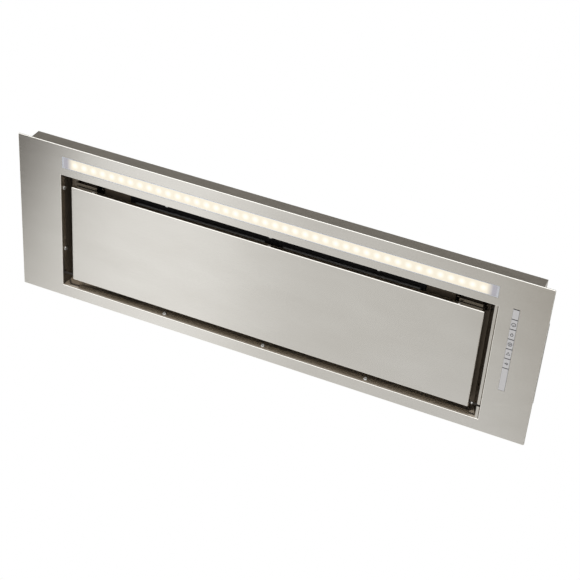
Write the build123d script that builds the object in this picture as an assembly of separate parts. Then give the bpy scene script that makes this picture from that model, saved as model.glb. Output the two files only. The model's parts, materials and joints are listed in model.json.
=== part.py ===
from build123d import *
import os
from math import atan, cos, degrees, pi, radians, sin, sqrt

# Undermount range hood for an external fan, in millimetres.
# +X is the cook's right, +Y is the wall, +Z is up.
# The origin is the middle of the faceplate's outline, in the plane of its upper face, which meets the cabinet.

# Faceplate
plate_length = 892.0
plate_width = 292.0
plate_thick = 1.5
plate_corner_round = 2.0
plate_edge_round = 1.2
opening_end_margin = 77.6
opening_front_margin = 54.6
opening_rear_margin = 22.2

# Recess frame: leaning walls and a ceiling round the filter
recess_sheet = 1.0
recess_height = 18.5
recess_lean = 9.8
recess_flange = 5.0
recess_ledge = 5.5

# Casing: a shallow upturned tray that stands on the faceplate
casing_sheet = 1.0
casing_end_inset = 19.0
casing_side_inset = 6.0
casing_height = 29.5
casing_flange = 8.0
tab_width = 16.0
tab_thick = 1.2
tab_foot = 3.0
tab_knee = 14.0

# Perimeter panel
panel_end_gap = 19.0
panel_side_gap = 17.4
panel_sheet = 1.0
panel_flange = 7.5
panel_round = 1.4
stiffener_from_end = 39.4
stiffener_width = 18.0
stiffener_channel = 10.0
stiffener_height = 5.5
stiffener_sheet = 0.8

# Panel hinge
hinge_from_edge = 7.4
hinge_height = 2.0
pin_radius = 1.5
pin_running_gap = 0.03
pin_fixed_gap = 0.02
pin_shoulder_radius = 2.2
pin_shoulder_thick = 1.6
shoulder_gap = 4.0
notch_gap = 0.5
arm_sheet = 2.0
arm_reach = 18.0
arm_width = 14.0
block_length = 10.0
block_width = 14.0
block_height = 8.0
block_gap = 0.8
block_ear = 10.0
block_ear_thick = 2.0
block_bevel = 1.0

# Spring catches
catch_from_end = 23.9
catch_span = 37.0
catch_sheet = 1.2
catch_drop = 9.8
catch_depth = 15.0
catch_slot_length = 16.0
catch_slot_width = 4.0
catch_foot = 8.5
blade_width = 12.0
blade_thick = 1.2
blade_top = 14.5
leaf_thick = 0.5
leaf_gap = 0.3
leaf_width = 11.0
leaf_pinch = 12.5
leaf_top = 15.5
leaf_flare = 1.3
leaf_foot = 3.6

# Grease filter
filter_length = 502.0
filter_front_margin = 14.4
filter_rear_margin = 20.8
filter_height = 9.0
filter_fit = 1.0
filter_rail = 8.0
filter_sheet = 1.0
mesh_thick = 0.6
mesh_columns = 24
mesh_rows = 12
mesh_strand = 3.0
crimp_sheet = 0.3
crimp_folds = 16
pack_gap = 0.3
seal_width = 9.0
hook_width = 20.0
hook_reach = 6.0
hook_thick = 1.2
hook_spread = 150.0

# Filter latch
latch_width = 28.0
latch_plate = 1.6
latch_travel = 6.0
latch_catch = 5.0
latch_reach = 30.0
latch_run_gap = 0.3
latch_grip_drop = 5.5
latch_grip_length = 26.0
latch_grip_depth = 6.0
latch_stem_length = 12.0
latch_stem_thick = 2.0
latch_lug_height = 3.6
cup_length = 36.0
spring_radius = 1.6
spring_wire = 0.5
spring_turns = 5

# Plenum and outlet
plenum_end_margin = 21.0
plenum_side_margin = 15.0
plenum_rearward = 7.0
plenum_height = 60.0
plenum_sheet = 1.0
plenum_flange = 12.0
plenum_screws_per_side = 4
collar_radius = 74.0
collar_sheet = 1.2
collar_height = 50.0
collar_flange = 12.0
damper_pin_height = 20.0
damper_pin_radius = 2.0
damper_pin_inset = 0.3
damper_sheet = 0.8
damper_rim_gap = 1.3
damper_knuckle_wall = 1.2
damper_knuckle_gap = 0.4
damper_knuckles = 6
damper_knuckle_inset = 7.0
damper_edge_gap = 3.0
damper_pin_gap = 0.05
damper_stop = 5.0
damper_stop_gap = 0.1

# Lamp
lamp_end_margin = 80.6
lamp_width = 20.4
lamp_from_front = 30.2
lamp_wall = 1.2
lamp_height = 9.5
lamp_front_flange = 3.0
lamp_rear_flange = 7.0
lamp_rib = 0.6
lamp_fit = 0.2
lamp_cap = 3.5
diffuser_thick = 1.3
diffuser_fit = 0.1
led_board_width = 12.0
led_board_thick = 1.0
led_board_end_gap = 5.9
led_pitch = 16.667
led_chip_length = 3.5
led_chip_width = 2.8
led_chip_height = 0.9
lamp_stud_from_end = 45.4
lamp_stud_count = 5

# Controls
strip_from_end = 50.4
strip_from_front = 51.0
strip_width = 9.6
strip_proud = 1.0
strip_slot_gap = 0.3
key_pitch = 18.0
key_gap = 1.4
key_count = 5
key_travel = 0.6
key_lip = 1.2
key_lip_thick = 1.0
key_rest_gap = 0.1
key_stop_gap = 0.1
key_stem_radius = 1.6
key_stem_gap = 0.15
name_length = 43.0
carrier_width = 30.0
carrier_end = 10.0
carrier_base = 1.5
carrier_wall = 1.5
carrier_bridge = 1.4
carrier_height = 9.5
carrier_lip_gap = 0.5
board_thick = 1.6
switch_size = 6.0
switch_height = 3.5
plunger_radius = 1.7
plunger_gap = 0.1
plunger_length = 3.0
control_stud_inset = 4.0

# Electrical boxes on the casing
box_from_end = 72.0
box_from_rear = 110.0
box_length = 110.0
box_width = 90.0
box_height = 45.0
box_wall = 2.0
box_post = 4.0
lid_thick = 2.0
lid_fit = 0.3
driver_width = 45.0
driver_height = 25.0
driver_gap = 15.0
driver_ear = 8.0
driver_ear_thick = 2.0
driver_edge_round = 2.0
terminal_length = 50.0
terminal_width = 14.0
terminal_height = 16.0
terminal_ways = 5
terminal_hole = 2.0
gland_bore = 4.0
gland_thread = 8.0
gland_nut_size = 22.0
gland_body = 9.0
gland_dome = 8.0
gland_dome_radius = 10.0
gland_dome_round = 4.0
gland_thread_length = 8.0
gland_ring = 3.0
gland_spread = 28.0
gland_gap = 0.1
gland_plate_thick = 2.0
gland_plate_tongue = 1.5
gland_plate_lip = 1.2
gland_plate_fit = 0.2
cable_radius = 2.0
cable_hole_gap = 1.0
cable_bend = 7.0
lamp_cable_gap = 11.2

# Cabinet fixing
cabinet_floor = 16.0
bracket_sheet = 1.5
bracket_length = 150.0
bracket_reach = 17.0
bracket_hole = 2.25
bracket_hole_out = 10.5
bracket_hole_from_end = 20.0
bracket_screw_from_end = 45.0
bracket_slot_length = 8.0

# Fasteners
screw_radius = 1.9
screw_hole_gap = 0.2
screw_length = 7.0
screw_head_radius = 3.5
screw_head_height = 2.2
screw_head_round = 1.3
screw_cross_length = 3.8
screw_cross_width = 1.0
screw_cross_depth = 1.1
recess_screw_height = 4.8
recess_screw_front_margin = 26.4
recess_screw_rear_margin = 71.3
recess_screw_side = 179.0
rivet_radius = 1.6
rivet_gap = 0.1
rivet_head_radius = 3.0
rivet_head_height = 1.2
rivet_head_round = 0.8
rivet_tail_radius = 2.0
rivet_tail_height = 1.5
stud_radius = 1.5
stud_gap = 0.2
nut_gap = 0.05
nut_size = 5.5
nut_height = 2.4
stud_proud = 0.6

# Worked out from the sizes above
plate_front = -plate_width / 2
opening_x = plate_length / 2 - opening_end_margin
opening_front = plate_front + opening_front_margin
opening_rear = plate_width / 2 - opening_rear_margin
opening_length = 2 * opening_x
opening_width = opening_rear - opening_front
opening_back = (opening_front + opening_rear) / 2
recess_length = opening_length - recess_ledge
recess_middle = -recess_ledge / 2
recess_screw_front = opening_front + recess_screw_front_margin
recess_screw_rear = opening_rear - recess_screw_rear_margin
plate_low = -plate_thick
lean_slope = recess_lean / recess_height
lean_angle = degrees(atan(lean_slope))
recess_wall_run = recess_sheet * sqrt(1 + lean_slope**2)
ceiling_low = recess_height
ceiling_high = recess_height + recess_sheet
casing_x = plate_length / 2 - casing_end_inset
casing_y = plate_width / 2 - casing_side_inset
deck_low = casing_height - casing_sheet
panel_x = opening_x - panel_end_gap
panel_front = opening_front + panel_side_gap
panel_rear = opening_rear - panel_side_gap
panel_floor = plate_low + panel_sheet
panel_top = plate_low + panel_flange
stiffener_spread = panel_x - stiffener_from_end
catch_centre = panel_x - catch_from_end
hinge_y = panel_rear - hinge_from_edge
block_x = opening_x + recess_flange + block_gap
pin_tip = block_x + block_length - block_gap
filter_front = opening_front + filter_front_margin
filter_rear = opening_rear - filter_rear_margin
filter_width = filter_rear - filter_front
filter_y = (filter_front + filter_rear) / 2
filter_top = ceiling_low + filter_height
filter_window_length = filter_length - 2 * filter_rail
filter_window_width = filter_width - 2 * filter_rail
pocket_low = ceiling_low + filter_sheet
pocket_high = filter_top - filter_sheet
pack_length = filter_length - 2 * (filter_sheet + pack_gap)
pack_width = filter_width - 2 * (filter_sheet + pack_gap)
deck_hole_length = filter_length - 2 * (seal_width + filter_sheet)
deck_hole_width = filter_width - 2 * (seal_width + filter_sheet)
cup_rear = filter_front + cup_length
latch_low = ceiling_high + latch_run_gap
latch_high = latch_low + latch_plate
tongue_tip = filter_front - latch_catch
latch_end = tongue_tip + latch_reach
plenum_length = deck_hole_length + 2 * plenum_end_margin
plenum_width = deck_hole_width + 2 * plenum_side_margin
plenum_back = filter_y + plenum_rearward
plenum_top = casing_height + plenum_height
collar_base = plenum_top
collar_bore = collar_radius - collar_sheet
damper_z = collar_base + damper_pin_height
knuckle_radius = damper_pin_radius + damper_pin_gap + damper_knuckle_wall
lamp_y = plate_front + lamp_from_front
lamp_length = plate_length - 2 * lamp_end_margin
lamp_top = plate_low + lamp_height
lamp_stud_y = lamp_y + lamp_width / 2 + lamp_rear_flange / 2
lamp_stud_pitch = (lamp_length - 2 * lamp_stud_from_end) / (lamp_stud_count - 1)
profile_length = lamp_length - 2 * lamp_cap
profile_base = lamp_top - lamp_wall
led_board_low = profile_base - led_board_thick
led_board_length = profile_length - 2 * led_board_end_gap
led_count = int(led_board_length / led_pitch)
strip_from_centre = plate_length / 2 - strip_from_end
strip_length = key_pitch * (key_count + 1) + name_length
strip_start = plate_front + strip_from_front
strip_end = strip_start + strip_length
strip_middle = (strip_start + strip_end) / 2
strip_low = plate_low - strip_proud
lip_low = key_rest_gap
bridge_low = lip_low + key_lip_thick + key_travel + key_stop_gap
board_low = carrier_height
switch_low = board_low - switch_height
plunger_low = switch_low - key_travel - key_stop_gap
carrier_length = strip_length + 2 * carrier_end
box_from_centre = casing_x - box_from_end
box_back = casing_y - box_from_rear
box_front = box_back - box_width / 2
box_rear = box_back + box_width / 2
box_lip = box_rear + gland_plate_lip
box_top = casing_height + box_height
driver_rear = box_front - driver_gap
driver_front = driver_rear - driver_width
bracket_hole_spread = bracket_length / 2 - bracket_hole_from_end
bracket_screw_spread = bracket_length / 2 - bracket_screw_from_end
bracket_screw_z = (cabinet_floor + bracket_sheet + casing_height) / 2
catch_low = ceiling_low - catch_drop - catch_sheet
blade_y = panel_front + panel_sheet
blade_middle = blade_y + blade_thick / 2
cable_x = box_from_centre
control_cable_y = box_back + box_width / 4
driver_cable_x = box_from_centre + box_length / 4
gland_z = casing_height + box_height / 2

# Cylinders stand on their seat
on_seat = (Align.CENTER, Align.CENTER, Align.MIN)


def block(x0, x1, y0, y1, z0, z1):
    """A box between two corners."""
    return Pos(x0, y0, z0) * Box(x1 - x0, y1 - y0, z1 - z0, align=(Align.MIN, Align.MIN, Align.MIN))


def slab(length, width, y, z0, z1):
    """A box centred across the hood, at y, between two heights."""
    return block(-length / 2, length / 2, y - width / 2, y + width / 2, z0, z1)


def rod(x, y, z0, z1, radius):
    """An upright cylinder."""
    return Pos(x, y, z0) * Cylinder(radius, z1 - z0, align=on_seat)


def rod_x(x0, x1, y, z, radius):
    """A cylinder along X."""
    return Pos(x0, y, z) * Rot(0, 90, 0) * Cylinder(radius, x1 - x0, align=on_seat)


def rod_y(x, y0, y1, z, radius):
    """A cylinder along Y."""
    return Pos(x, y0, z) * Rot(-90, 0, 0) * Cylinder(radius, y1 - y0, align=on_seat)


def both_ends(shape):
    """The shape and its mirror image at the other end of the hood."""
    return [shape, shape.mirror(Plane.YZ)]


def save(name, *pieces):
    """Writes one sub-part, of one solid or of several separate ones."""
    solids = [solid for piece in pieces for solid in piece.solids()]
    shape = solids[0] if len(solids) == 1 else Compound(solids)
    export_step(shape, f"parts/{name}.step")


def profile_yz(points, x0, x1):
    """A polygon in the YZ plane, drawn out along X from x0 to x1."""
    wire = Polyline(*[(x0, y, z) for y, z in points], close=True)
    return extrude(make_face(wire), amount=x1 - x0, dir=(1, 0, 0))


def profile_xz(points, y0, y1):
    """A polygon in the XZ plane, drawn out along Y from y0 to y1."""
    wire = Polyline(*[(x, y0, z) for x, z in points], close=True)
    return extrude(make_face(wire), amount=y1 - y0, dir=(0, 1, 0))


def strip_points(line, thick):
    """The outline of a bent strip: the line, and the same line shifted to its left by the thickness."""
    left = []
    for i, (a, b) in enumerate(line):
        before = line[max(i - 1, 0)]
        after = line[min(i + 1, len(line) - 1)]
        normals = []
        for (p, q) in ((before, (a, b)), ((a, b), after)):
            run, rise = q[0] - p[0], q[1] - p[1]
            size = sqrt(run**2 + rise**2)
            if size > 0:
                normals.append((-rise / size, run / size))
        nx = sum(n[0] for n in normals) / len(normals)
        ny = sum(n[1] for n in normals) / len(normals)
        fit = thick / (nx**2 + ny**2)
        left.append((a + nx * fit, b + ny * fit))
    return list(line) + left[::-1]


# Fasteners, each drawn with its seat at z = 0 and its tip below

def pan_screw():
    """A pan-head screw with a cross recess."""
    head = rod(0, 0, 0, screw_head_height, screw_head_radius)
    head = fillet(head.edges().sort_by(Axis.Z)[-1], screw_head_round)
    for turn in (0, 90):
        cross = Box(screw_cross_length, screw_cross_width, 2 * screw_cross_depth)
        head -= Pos(0, 0, screw_head_height) * Rot(0, 0, turn) * cross
    return head + rod(0, 0, -screw_length, 0, screw_radius)


def rivet(grip):
    """A blind rivet: a domed head, a shank through the sheets and a swelled tail."""
    head = rod(0, 0, 0, rivet_head_height, rivet_head_radius)
    head = fillet(head.edges().sort_by(Axis.Z)[-1], rivet_head_round)
    tail = rod(0, 0, -grip - rivet_tail_height, -grip, rivet_tail_radius)
    return head + rod(0, 0, -grip, 0, rivet_radius) + tail


def hex_nut():
    """A nut that stands on z = 0."""
    body = extrude(RegularPolygon(nut_size / 2, 6, major_radius=False), nut_height)
    return body - Cylinder(stud_radius + nut_gap, 4 * nut_height)


def drill(part, places, radius, depth):
    """Cuts a round hole at each place, both ways along its normal."""
    for place in places:
        part -= place.location * Cylinder(radius, 2 * depth)
    return part


def seat(x, y, z, direction):
    """Where a fastener sits: a point and the direction its head faces."""
    return Plane(origin=(x, y, z), z_dir=direction)


# Places of the fasteners

def wall_run_at(z):
    """How far a recess wall has leaned in at a height."""
    return lean_slope * z


def recess_screw_rows():
    """Where the recess screws stand along the front and rear walls."""
    return [-recess_screw_side, 0, recess_screw_side]


def recess_screw_places():
    """Seats on the leaning walls at the front, rear and left, with the heads facing down into the recess."""
    run = wall_run_at(recess_screw_height)
    flat, fall = cos(radians(lean_angle)), sin(radians(lean_angle))
    places = []
    for y in (recess_screw_front, recess_screw_rear):
        places.append(seat(run - opening_x, y, recess_screw_height, (flat, 0, -fall)))
    for x in recess_screw_rows():
        places.append(seat(x, opening_front + run, recess_screw_height, (0, flat, -fall)))
        places.append(seat(x, opening_rear - run, recess_screw_height, (0, -flat, -fall)))
    return places


def plenum_screw_places():
    """Seats on the plenum's flange."""
    edge = plenum_flange / 2
    z = casing_height + plenum_sheet
    step = plenum_length / plenum_screws_per_side
    places = []
    for i in range(plenum_screws_per_side):
        x = (i - (plenum_screws_per_side - 1) / 2) * step
        for side in (-1, 1):
            places.append(seat(x, plenum_back + side * (plenum_width / 2 + edge), z, (0, 0, 1)))
    for side in (-1, 1):
        places.append(seat(side * (plenum_length / 2 + edge), plenum_back, z, (0, 0, 1)))
    return places


def bracket_screw_places():
    """Seats on the outer faces of the cabinet brackets."""
    x = casing_x + bracket_sheet
    return [
        seat(end * x, side * bracket_screw_spread, bracket_screw_z, (end, 0, 0))
        for end in (-1, 1)
        for side in (-1, 1)
    ]


def driver_screw_places():
    """Seats on the lamp driver's two ears."""
    z = casing_height + driver_ear_thick
    y = (driver_front + driver_rear) / 2
    reach = box_length / 2 + driver_ear / 2
    return [seat(box_from_centre + side * reach, y, z, (0, 0, 1)) for side in (-1, 1)]


def box_screw_places():
    """Seats inside the junction box, which hold it on the casing."""
    z = casing_height + box_wall
    reach = box_length / 2 - box_wall - box_post * 3
    return [seat(box_from_centre + side * reach, box_back, z, (0, 0, 1)) for side in (-1, 1)]


def lid_screw_places():
    """Seats at the lid's corners, over the box's posts."""
    z = box_top + lid_thick
    x = box_length / 2 - box_post
    y = box_width / 2 - box_post
    return [
        seat(box_from_centre + i * x, box_back + j * y, z, (0, 0, 1))
        for i in (-1, 1)
        for j in (-1, 1)
    ]


def catch_rivet_places():
    """Seats under the catch brackets' feet."""
    reach = catch_span / 2 + catch_foot / 2
    z = ceiling_low - catch_sheet
    y = blade_middle
    return [
        seat(side * (catch_centre + foot * reach), y, z, (0, 0, -1))
        for side in (-1, 1)
        for foot in (-1, 1)
    ]


def collar_rivet_places():
    """Seats on the collar's flange."""
    reach = (collar_radius + collar_flange / 2) / sqrt(2)
    z = collar_base + collar_sheet
    return [seat(i * reach, plenum_back + j * reach, z, (0, 0, 1)) for i in (-1, 1) for j in (-1, 1)]


def lamp_stud_places():
    """Studs behind the faceplate for the lamp's rear flange."""
    return [
        ((i - (lamp_stud_count - 1) / 2) * lamp_stud_pitch, lamp_stud_y)
        for i in range(lamp_stud_count)
    ]


def control_stud_places():
    """Studs at the corners of the control carrier."""
    x = carrier_width / 2 - control_stud_inset
    y = carrier_length / 2 - control_stud_inset
    return [(strip_from_centre + i * x, strip_middle + j * y) for i in (-1, 1) for j in (-1, 1)]


def block_stud_places():
    """Studs for the ear of each hinge block."""
    x = block_x + block_length / 2
    y = hinge_y - block_width / 2 - block_ear / 2
    return [(side * x, y) for side in (-1, 1)]


# Sheet-metal body

def make_faceplate():
    """The visible plate, with its opening, two slots and the studs on its back."""
    outline = RectangleRounded(plate_length, plate_width, plate_corner_round)
    outline -= Pos(0, opening_back) * Rectangle(opening_length, opening_width)
    plate = extrude(Pos(0, 0, plate_low) * outline, plate_thick)
    underside = plate.faces().sort_by(Axis.Z)[0]
    plate = fillet(underside.edges(), plate_edge_round)
    plate -= slab(lamp_length + 2 * lamp_fit, lamp_width + 2 * lamp_fit, lamp_y, 2 * plate_low, plate_thick)
    slot_x = strip_width / 2 + strip_slot_gap
    plate -= block(
        strip_from_centre - slot_x,
        strip_from_centre + slot_x,
        strip_start - strip_slot_gap,
        strip_end + strip_slot_gap,
        2 * plate_low,
        plate_thick,
    )
    for places, under in (
        (lamp_stud_places(), lamp_wall),
        (control_stud_places(), carrier_base),
        (block_stud_places(), block_ear_thick),
    ):
        for x, y in places:
            plate += rod(x, y, plate_low / 2, under + nut_height + stud_proud, stud_radius)
    return plate


def leaning_box(grow, z0, z1):
    """The space inside the recess walls, grown sideways, between two heights."""
    sections = []
    for z in (z0, z1):
        shrink = 2 * wall_run_at(z) - 2 * grow
        outline = Rectangle(recess_length - shrink, opening_width - shrink)
        sections.append(Pos(recess_middle, opening_back, z) * outline)
    return loft(sections, ruled=True)


def make_recess_frame():
    """The leaning walls behind the opening, their flange on the plate and the ceiling round the filter."""
    flange_length = opening_length + 2 * recess_flange
    flange_width = opening_width + 2 * recess_flange
    frame = leaning_box(recess_wall_run, 0, recess_height)
    frame += slab(flange_length, flange_width, opening_back, 0, recess_sheet)
    ceiling_length = recess_length - 2 * (recess_lean - recess_wall_run)
    ceiling_width = opening_width - 2 * (recess_lean - recess_wall_run)
    ceiling = slab(ceiling_length, ceiling_width, opening_back, ceiling_low, ceiling_high)
    frame += Pos(recess_middle, 0, 0) * ceiling
    frame -= leaning_box(0, 0, recess_height)
    window_length = filter_length + 2 * filter_fit
    window_width = filter_width + 2 * filter_fit
    frame -= slab(window_length, window_width, filter_y, 0, 2 * ceiling_high)
    notch = pin_radius + notch_gap
    notch_in = opening_x - recess_ledge - wall_run_at(hinge_height + notch) - recess_wall_run
    notch_out = opening_x + 2 * recess_flange
    frame -= both_ends(block(notch_in, notch_out, hinge_y - notch, hinge_y + notch, -1, hinge_height + notch))
    hole = screw_radius + screw_hole_gap
    frame = drill(frame, recess_screw_places(), hole, 4 * recess_sheet)
    return drill(frame, catch_rivet_places(), rivet_radius + rivet_gap, 4 * recess_sheet)


def tab_line(z0, z1):
    """A casing tab beside a recess wall, as (distance out from the opening's edge, height)."""
    out0 = recess_wall_run - wall_run_at(z0)
    out1 = recess_wall_run - wall_run_at(z1)
    return [(out1, deck_low + casing_sheet / 2), (out1, z1), (out0, z0)]


def casing_tabs():
    """The tabs that hang from the deck and take the recess screws."""
    points = strip_points(tab_line(tab_foot, tab_knee), tab_thick)
    half = tab_width / 2
    tabs = []
    for y in (recess_screw_front, recess_screw_rear):
        tabs.append(profile_xz([(-opening_x - out, z) for out, z in points], y - half, y + half))
    for x in recess_screw_rows():
        tabs.append(profile_yz([(opening_rear + out, z) for out, z in points], x - half, x + half))
        tabs.append(profile_yz([(opening_front - out, z) for out, z in points], x - half, x + half))
    return tabs


def make_casing_shell():
    """The casing's walls and deck, its flanges on the faceplate and the tabs that hold the recess frame."""
    shell = block(-casing_x, casing_x, -casing_y, casing_y, 0, casing_height)
    inner_x = casing_x - casing_sheet
    inner_y = casing_y - casing_sheet
    shell -= block(-inner_x, inner_x, -inner_y, inner_y, casing_sheet, deck_low)
    clear_x = casing_x - casing_flange
    clear_y = casing_y - casing_flange
    shell -= block(-clear_x, clear_x, -clear_y, clear_y, -1, 2 * casing_sheet)
    shell -= slab(deck_hole_length, deck_hole_width, filter_y, deck_low - 1, casing_height + 1)
    shell += casing_tabs()
    hole = screw_radius + screw_hole_gap
    for places in (
        plenum_screw_places(),
        bracket_screw_places(),
        driver_screw_places(),
        box_screw_places(),
        recess_screw_places(),
    ):
        shell = drill(shell, places, hole, screw_length)
    cable_hole = cable_radius + cable_hole_gap
    shell -= rod(cable_x, lamp_cable_rise_y(), deck_low - 1, casing_height + 1, cable_hole)
    shell -= rod(strip_from_centre, control_cable_y, deck_low - 1, casing_height + 1, cable_hole)
    return shell


def make_plenum_cover():
    """The raised box over the filter, with a flange on the deck and a hole under the collar."""
    outer_z = plenum_top
    cover = slab(plenum_length, plenum_width, plenum_back, casing_height, outer_z)
    cover = fillet(cover.edges().filter_by(Axis.Z), 3 * plenum_sheet)
    inside_length = plenum_length - 2 * plenum_sheet
    inside_width = plenum_width - 2 * plenum_sheet
    cover -= slab(inside_length, inside_width, plenum_back, casing_height - 1, outer_z - plenum_sheet)
    flange = slab(
        plenum_length + 2 * plenum_flange,
        plenum_width + 2 * plenum_flange,
        plenum_back,
        casing_height,
        casing_height + plenum_sheet,
    )
    flange -= slab(inside_length, inside_width, plenum_back, casing_height - 1, outer_z)
    cover += flange
    cover -= rod(0, plenum_back, outer_z - 2 * plenum_sheet, outer_z + 1, collar_bore)
    cover = drill(cover, plenum_screw_places(), screw_radius + screw_hole_gap, 2 * plenum_sheet)
    return drill(cover, collar_rivet_places(), rivet_radius + rivet_gap, 4 * plenum_sheet)


def make_outlet_collar():
    """The round duct collar, with its flange, the damper pin's holes and two stops for the flaps."""
    collar = rod(0, plenum_back, collar_base, collar_base + collar_height, collar_radius)
    collar += rod(0, plenum_back, collar_base, collar_base + collar_sheet, collar_radius + collar_flange)
    collar -= rod(0, plenum_back, collar_base - 1, collar_base + 2 * collar_height, collar_bore)
    stop_top = damper_z - damper_sheet / 2 - damper_stop_gap
    for side in (-1, 1):
        reach = collar_radius - collar_sheet / 2
        y0, y1 = sorted((plenum_back + side * (reach - damper_stop), plenum_back + side * reach))
        collar += block(-damper_stop, damper_stop, y0, y1, stop_top - collar_sheet, stop_top)
    pin_hole = damper_pin_radius + damper_pin_gap
    collar -= rod_x(-2 * collar_radius, 2 * collar_radius, plenum_back, damper_z, pin_hole)
    return drill(collar, collar_rivet_places(), rivet_radius + rivet_gap, 2 * collar_sheet)


# Dampers

def knuckle_spans(mine):
    """The stretches of the damper pin that one flap's knuckles take; the other flap has the ones between."""
    length = 2 * (collar_bore - damper_rim_gap - damper_knuckle_inset)
    step = length / damper_knuckles
    gap = damper_knuckle_gap / 2
    spans = []
    for i in range(damper_knuckles):
        if i % 2 == mine:
            start = i * step - length / 2
            spans.append((start + gap, start + step - gap))
    return spans


def make_damper_flap(side):
    """A half-round flap on one side of the pin, with tongues that roll into its own knuckles."""
    mine = 0 if side < 0 else 1
    radius = collar_bore - damper_rim_gap
    z0 = damper_z - damper_sheet / 2
    z1 = z0 + damper_sheet
    flap = rod(0, plenum_back, z0, z1, radius)
    edge = plenum_back + side * (knuckle_radius + damper_edge_gap)
    far = plenum_back - side * 2 * radius
    flap -= block(-radius, radius, min(edge, far), max(edge, far), z0 - 1, z1 + 1)
    for x0, x1 in knuckle_spans(mine):
        flap += block(x0, x1, min(edge, plenum_back), max(edge, plenum_back), z0, z1)
        flap += rod_x(x0, x1, plenum_back, damper_z, knuckle_radius)
    return flap - rod_x(-radius, radius, plenum_back, damper_z, damper_pin_radius + damper_pin_gap)


def make_damper_pin():
    """The pin that both flaps turn on, peened flush with the collar."""
    end = collar_radius - damper_pin_inset
    return rod_x(-end, end, plenum_back, damper_z, damper_pin_radius)


# Grease filter

def latch_cup():
    """The housing in the filter's front rail, without its hollow."""
    half = latch_width / 2 + latch_run_gap + filter_sheet
    return block(-half, half, filter_front, cup_rear, ceiling_low, filter_top)


def latch_hollow():
    """The hollow of the latch's housing."""
    half = latch_width / 2 + latch_run_gap
    return block(-half, half, filter_front + filter_sheet, cup_rear - filter_sheet, pocket_low, pocket_high)


def make_filter_frame():
    """The filter's channel frame, with two hooks at the rear and the latch's housing at the front."""
    frame = slab(filter_length, filter_width, filter_y, ceiling_low, filter_top)
    inner_length = filter_length - 2 * filter_sheet
    inner_width = filter_width - 2 * filter_sheet
    frame -= slab(inner_length, inner_width, filter_y, pocket_low, pocket_high)
    frame -= slab(filter_window_length, filter_window_width, filter_y, ceiling_low - 1, filter_top + 1)
    frame += latch_cup()
    frame -= latch_hollow()
    mouth = latch_width / 2 + latch_run_gap
    frame -= block(
        -mouth,
        mouth,
        filter_front - 1,
        filter_front + 2 * filter_sheet,
        pocket_low,
        latch_high + latch_run_gap,
    )
    stem_x = latch_stem_length / 2 + latch_run_gap
    stem_y0, stem_y1 = latch_stem_span()
    slot_rear = stem_y1 + latch_travel + latch_run_gap
    frame -= block(-stem_x, stem_x, stem_y0 - latch_run_gap, slot_rear, ceiling_low - 1, pocket_low)
    hook_low = ceiling_high + latch_run_gap
    for side in (-1, 1):
        x = side * hook_spread
        frame += block(
            x - hook_width / 2,
            x + hook_width / 2,
            filter_rear - filter_sheet / 2,
            filter_rear + hook_reach,
            hook_low,
            hook_low + hook_thick,
        )
    return frame


def latch_room(z0, z1):
    """What the mesh and the core leave free round the latch's housing."""
    half = latch_width / 2 + latch_run_gap + filter_sheet + pack_gap
    return block(-half, half, filter_front, cup_rear + pack_gap, z0, z1)


def make_filter_mesh(z0):
    """One face of the filter pack: a sheet with slotted openings."""
    margin = filter_rail - filter_sheet - pack_gap
    cell_x = (pack_length - 2 * margin) / mesh_columns
    cell_y = (pack_width - 2 * margin) / mesh_rows
    outer = Wire.make_polygon(corners(0, 0, pack_length, pack_width), close=True)
    holes = []
    room_x = latch_width / 2 + latch_run_gap + filter_sheet + pack_gap + cell_x / 2
    room_y = cup_rear + pack_gap - filter_y + cell_y / 2
    for i in range(mesh_columns):
        for j in range(mesh_rows):
            x = (i - (mesh_columns - 1) / 2) * cell_x
            y = (j - (mesh_rows - 1) / 2) * cell_y
            if abs(x) > room_x or y > room_y:
                spots = corners(x, y, cell_x - mesh_strand, cell_y - mesh_strand)
                holes.append(Wire.make_polygon(spots, close=True))
    sheet = extrude(Pos(0, filter_y, z0) * Face(outer, holes), mesh_thick, dir=(0, 0, 1))
    return sheet - latch_room(z0 - 1, z0 + 1)


def corners(x, y, length, width):
    """The four corners of a rectangle round a point."""
    half_x, half_y = length / 2, width / 2
    x0, x1 = x - half_x, x + half_x
    y0, y1 = y - half_y, y + half_y
    return [(x0, y0), (x1, y0), (x1, y1), (x0, y1)]


def make_filter_core():
    """The crimped layer inside the filter, folded up and down between the two meshes."""
    low = pocket_low + mesh_thick
    high = pocket_high - mesh_thick
    start = filter_y - pack_width / 2
    fold = pack_width / (2 * crimp_folds)
    rise = high - low
    thick = crimp_sheet * sqrt(1 + (rise / fold)**2)
    heights = [low if i % 2 == 0 else high - thick for i in range(2 * crimp_folds + 1)]
    under = [(start + i * fold, z) for i, z in enumerate(heights)]
    over = [(y, z + thick) for y, z in under[::-1]]
    core = profile_yz(under + over, -pack_length / 2, pack_length / 2)
    return core - latch_room(low - 1, high + 1)


def make_filter_seal():
    """The foam strip between the filter and the deck."""
    length = filter_length - 2 * filter_sheet
    width = filter_width - 2 * filter_sheet
    seal = slab(length, width, filter_y, filter_top, deck_low)
    return seal - slab(deck_hole_length, deck_hole_width, filter_y, filter_top - 1, deck_low + 1)


def latch_stem_span():
    """Where the latch's stem lies, front to back, with the latch closed."""
    y0 = latch_end - latch_stem_thick * 2
    return y0, y0 + latch_stem_thick


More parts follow.
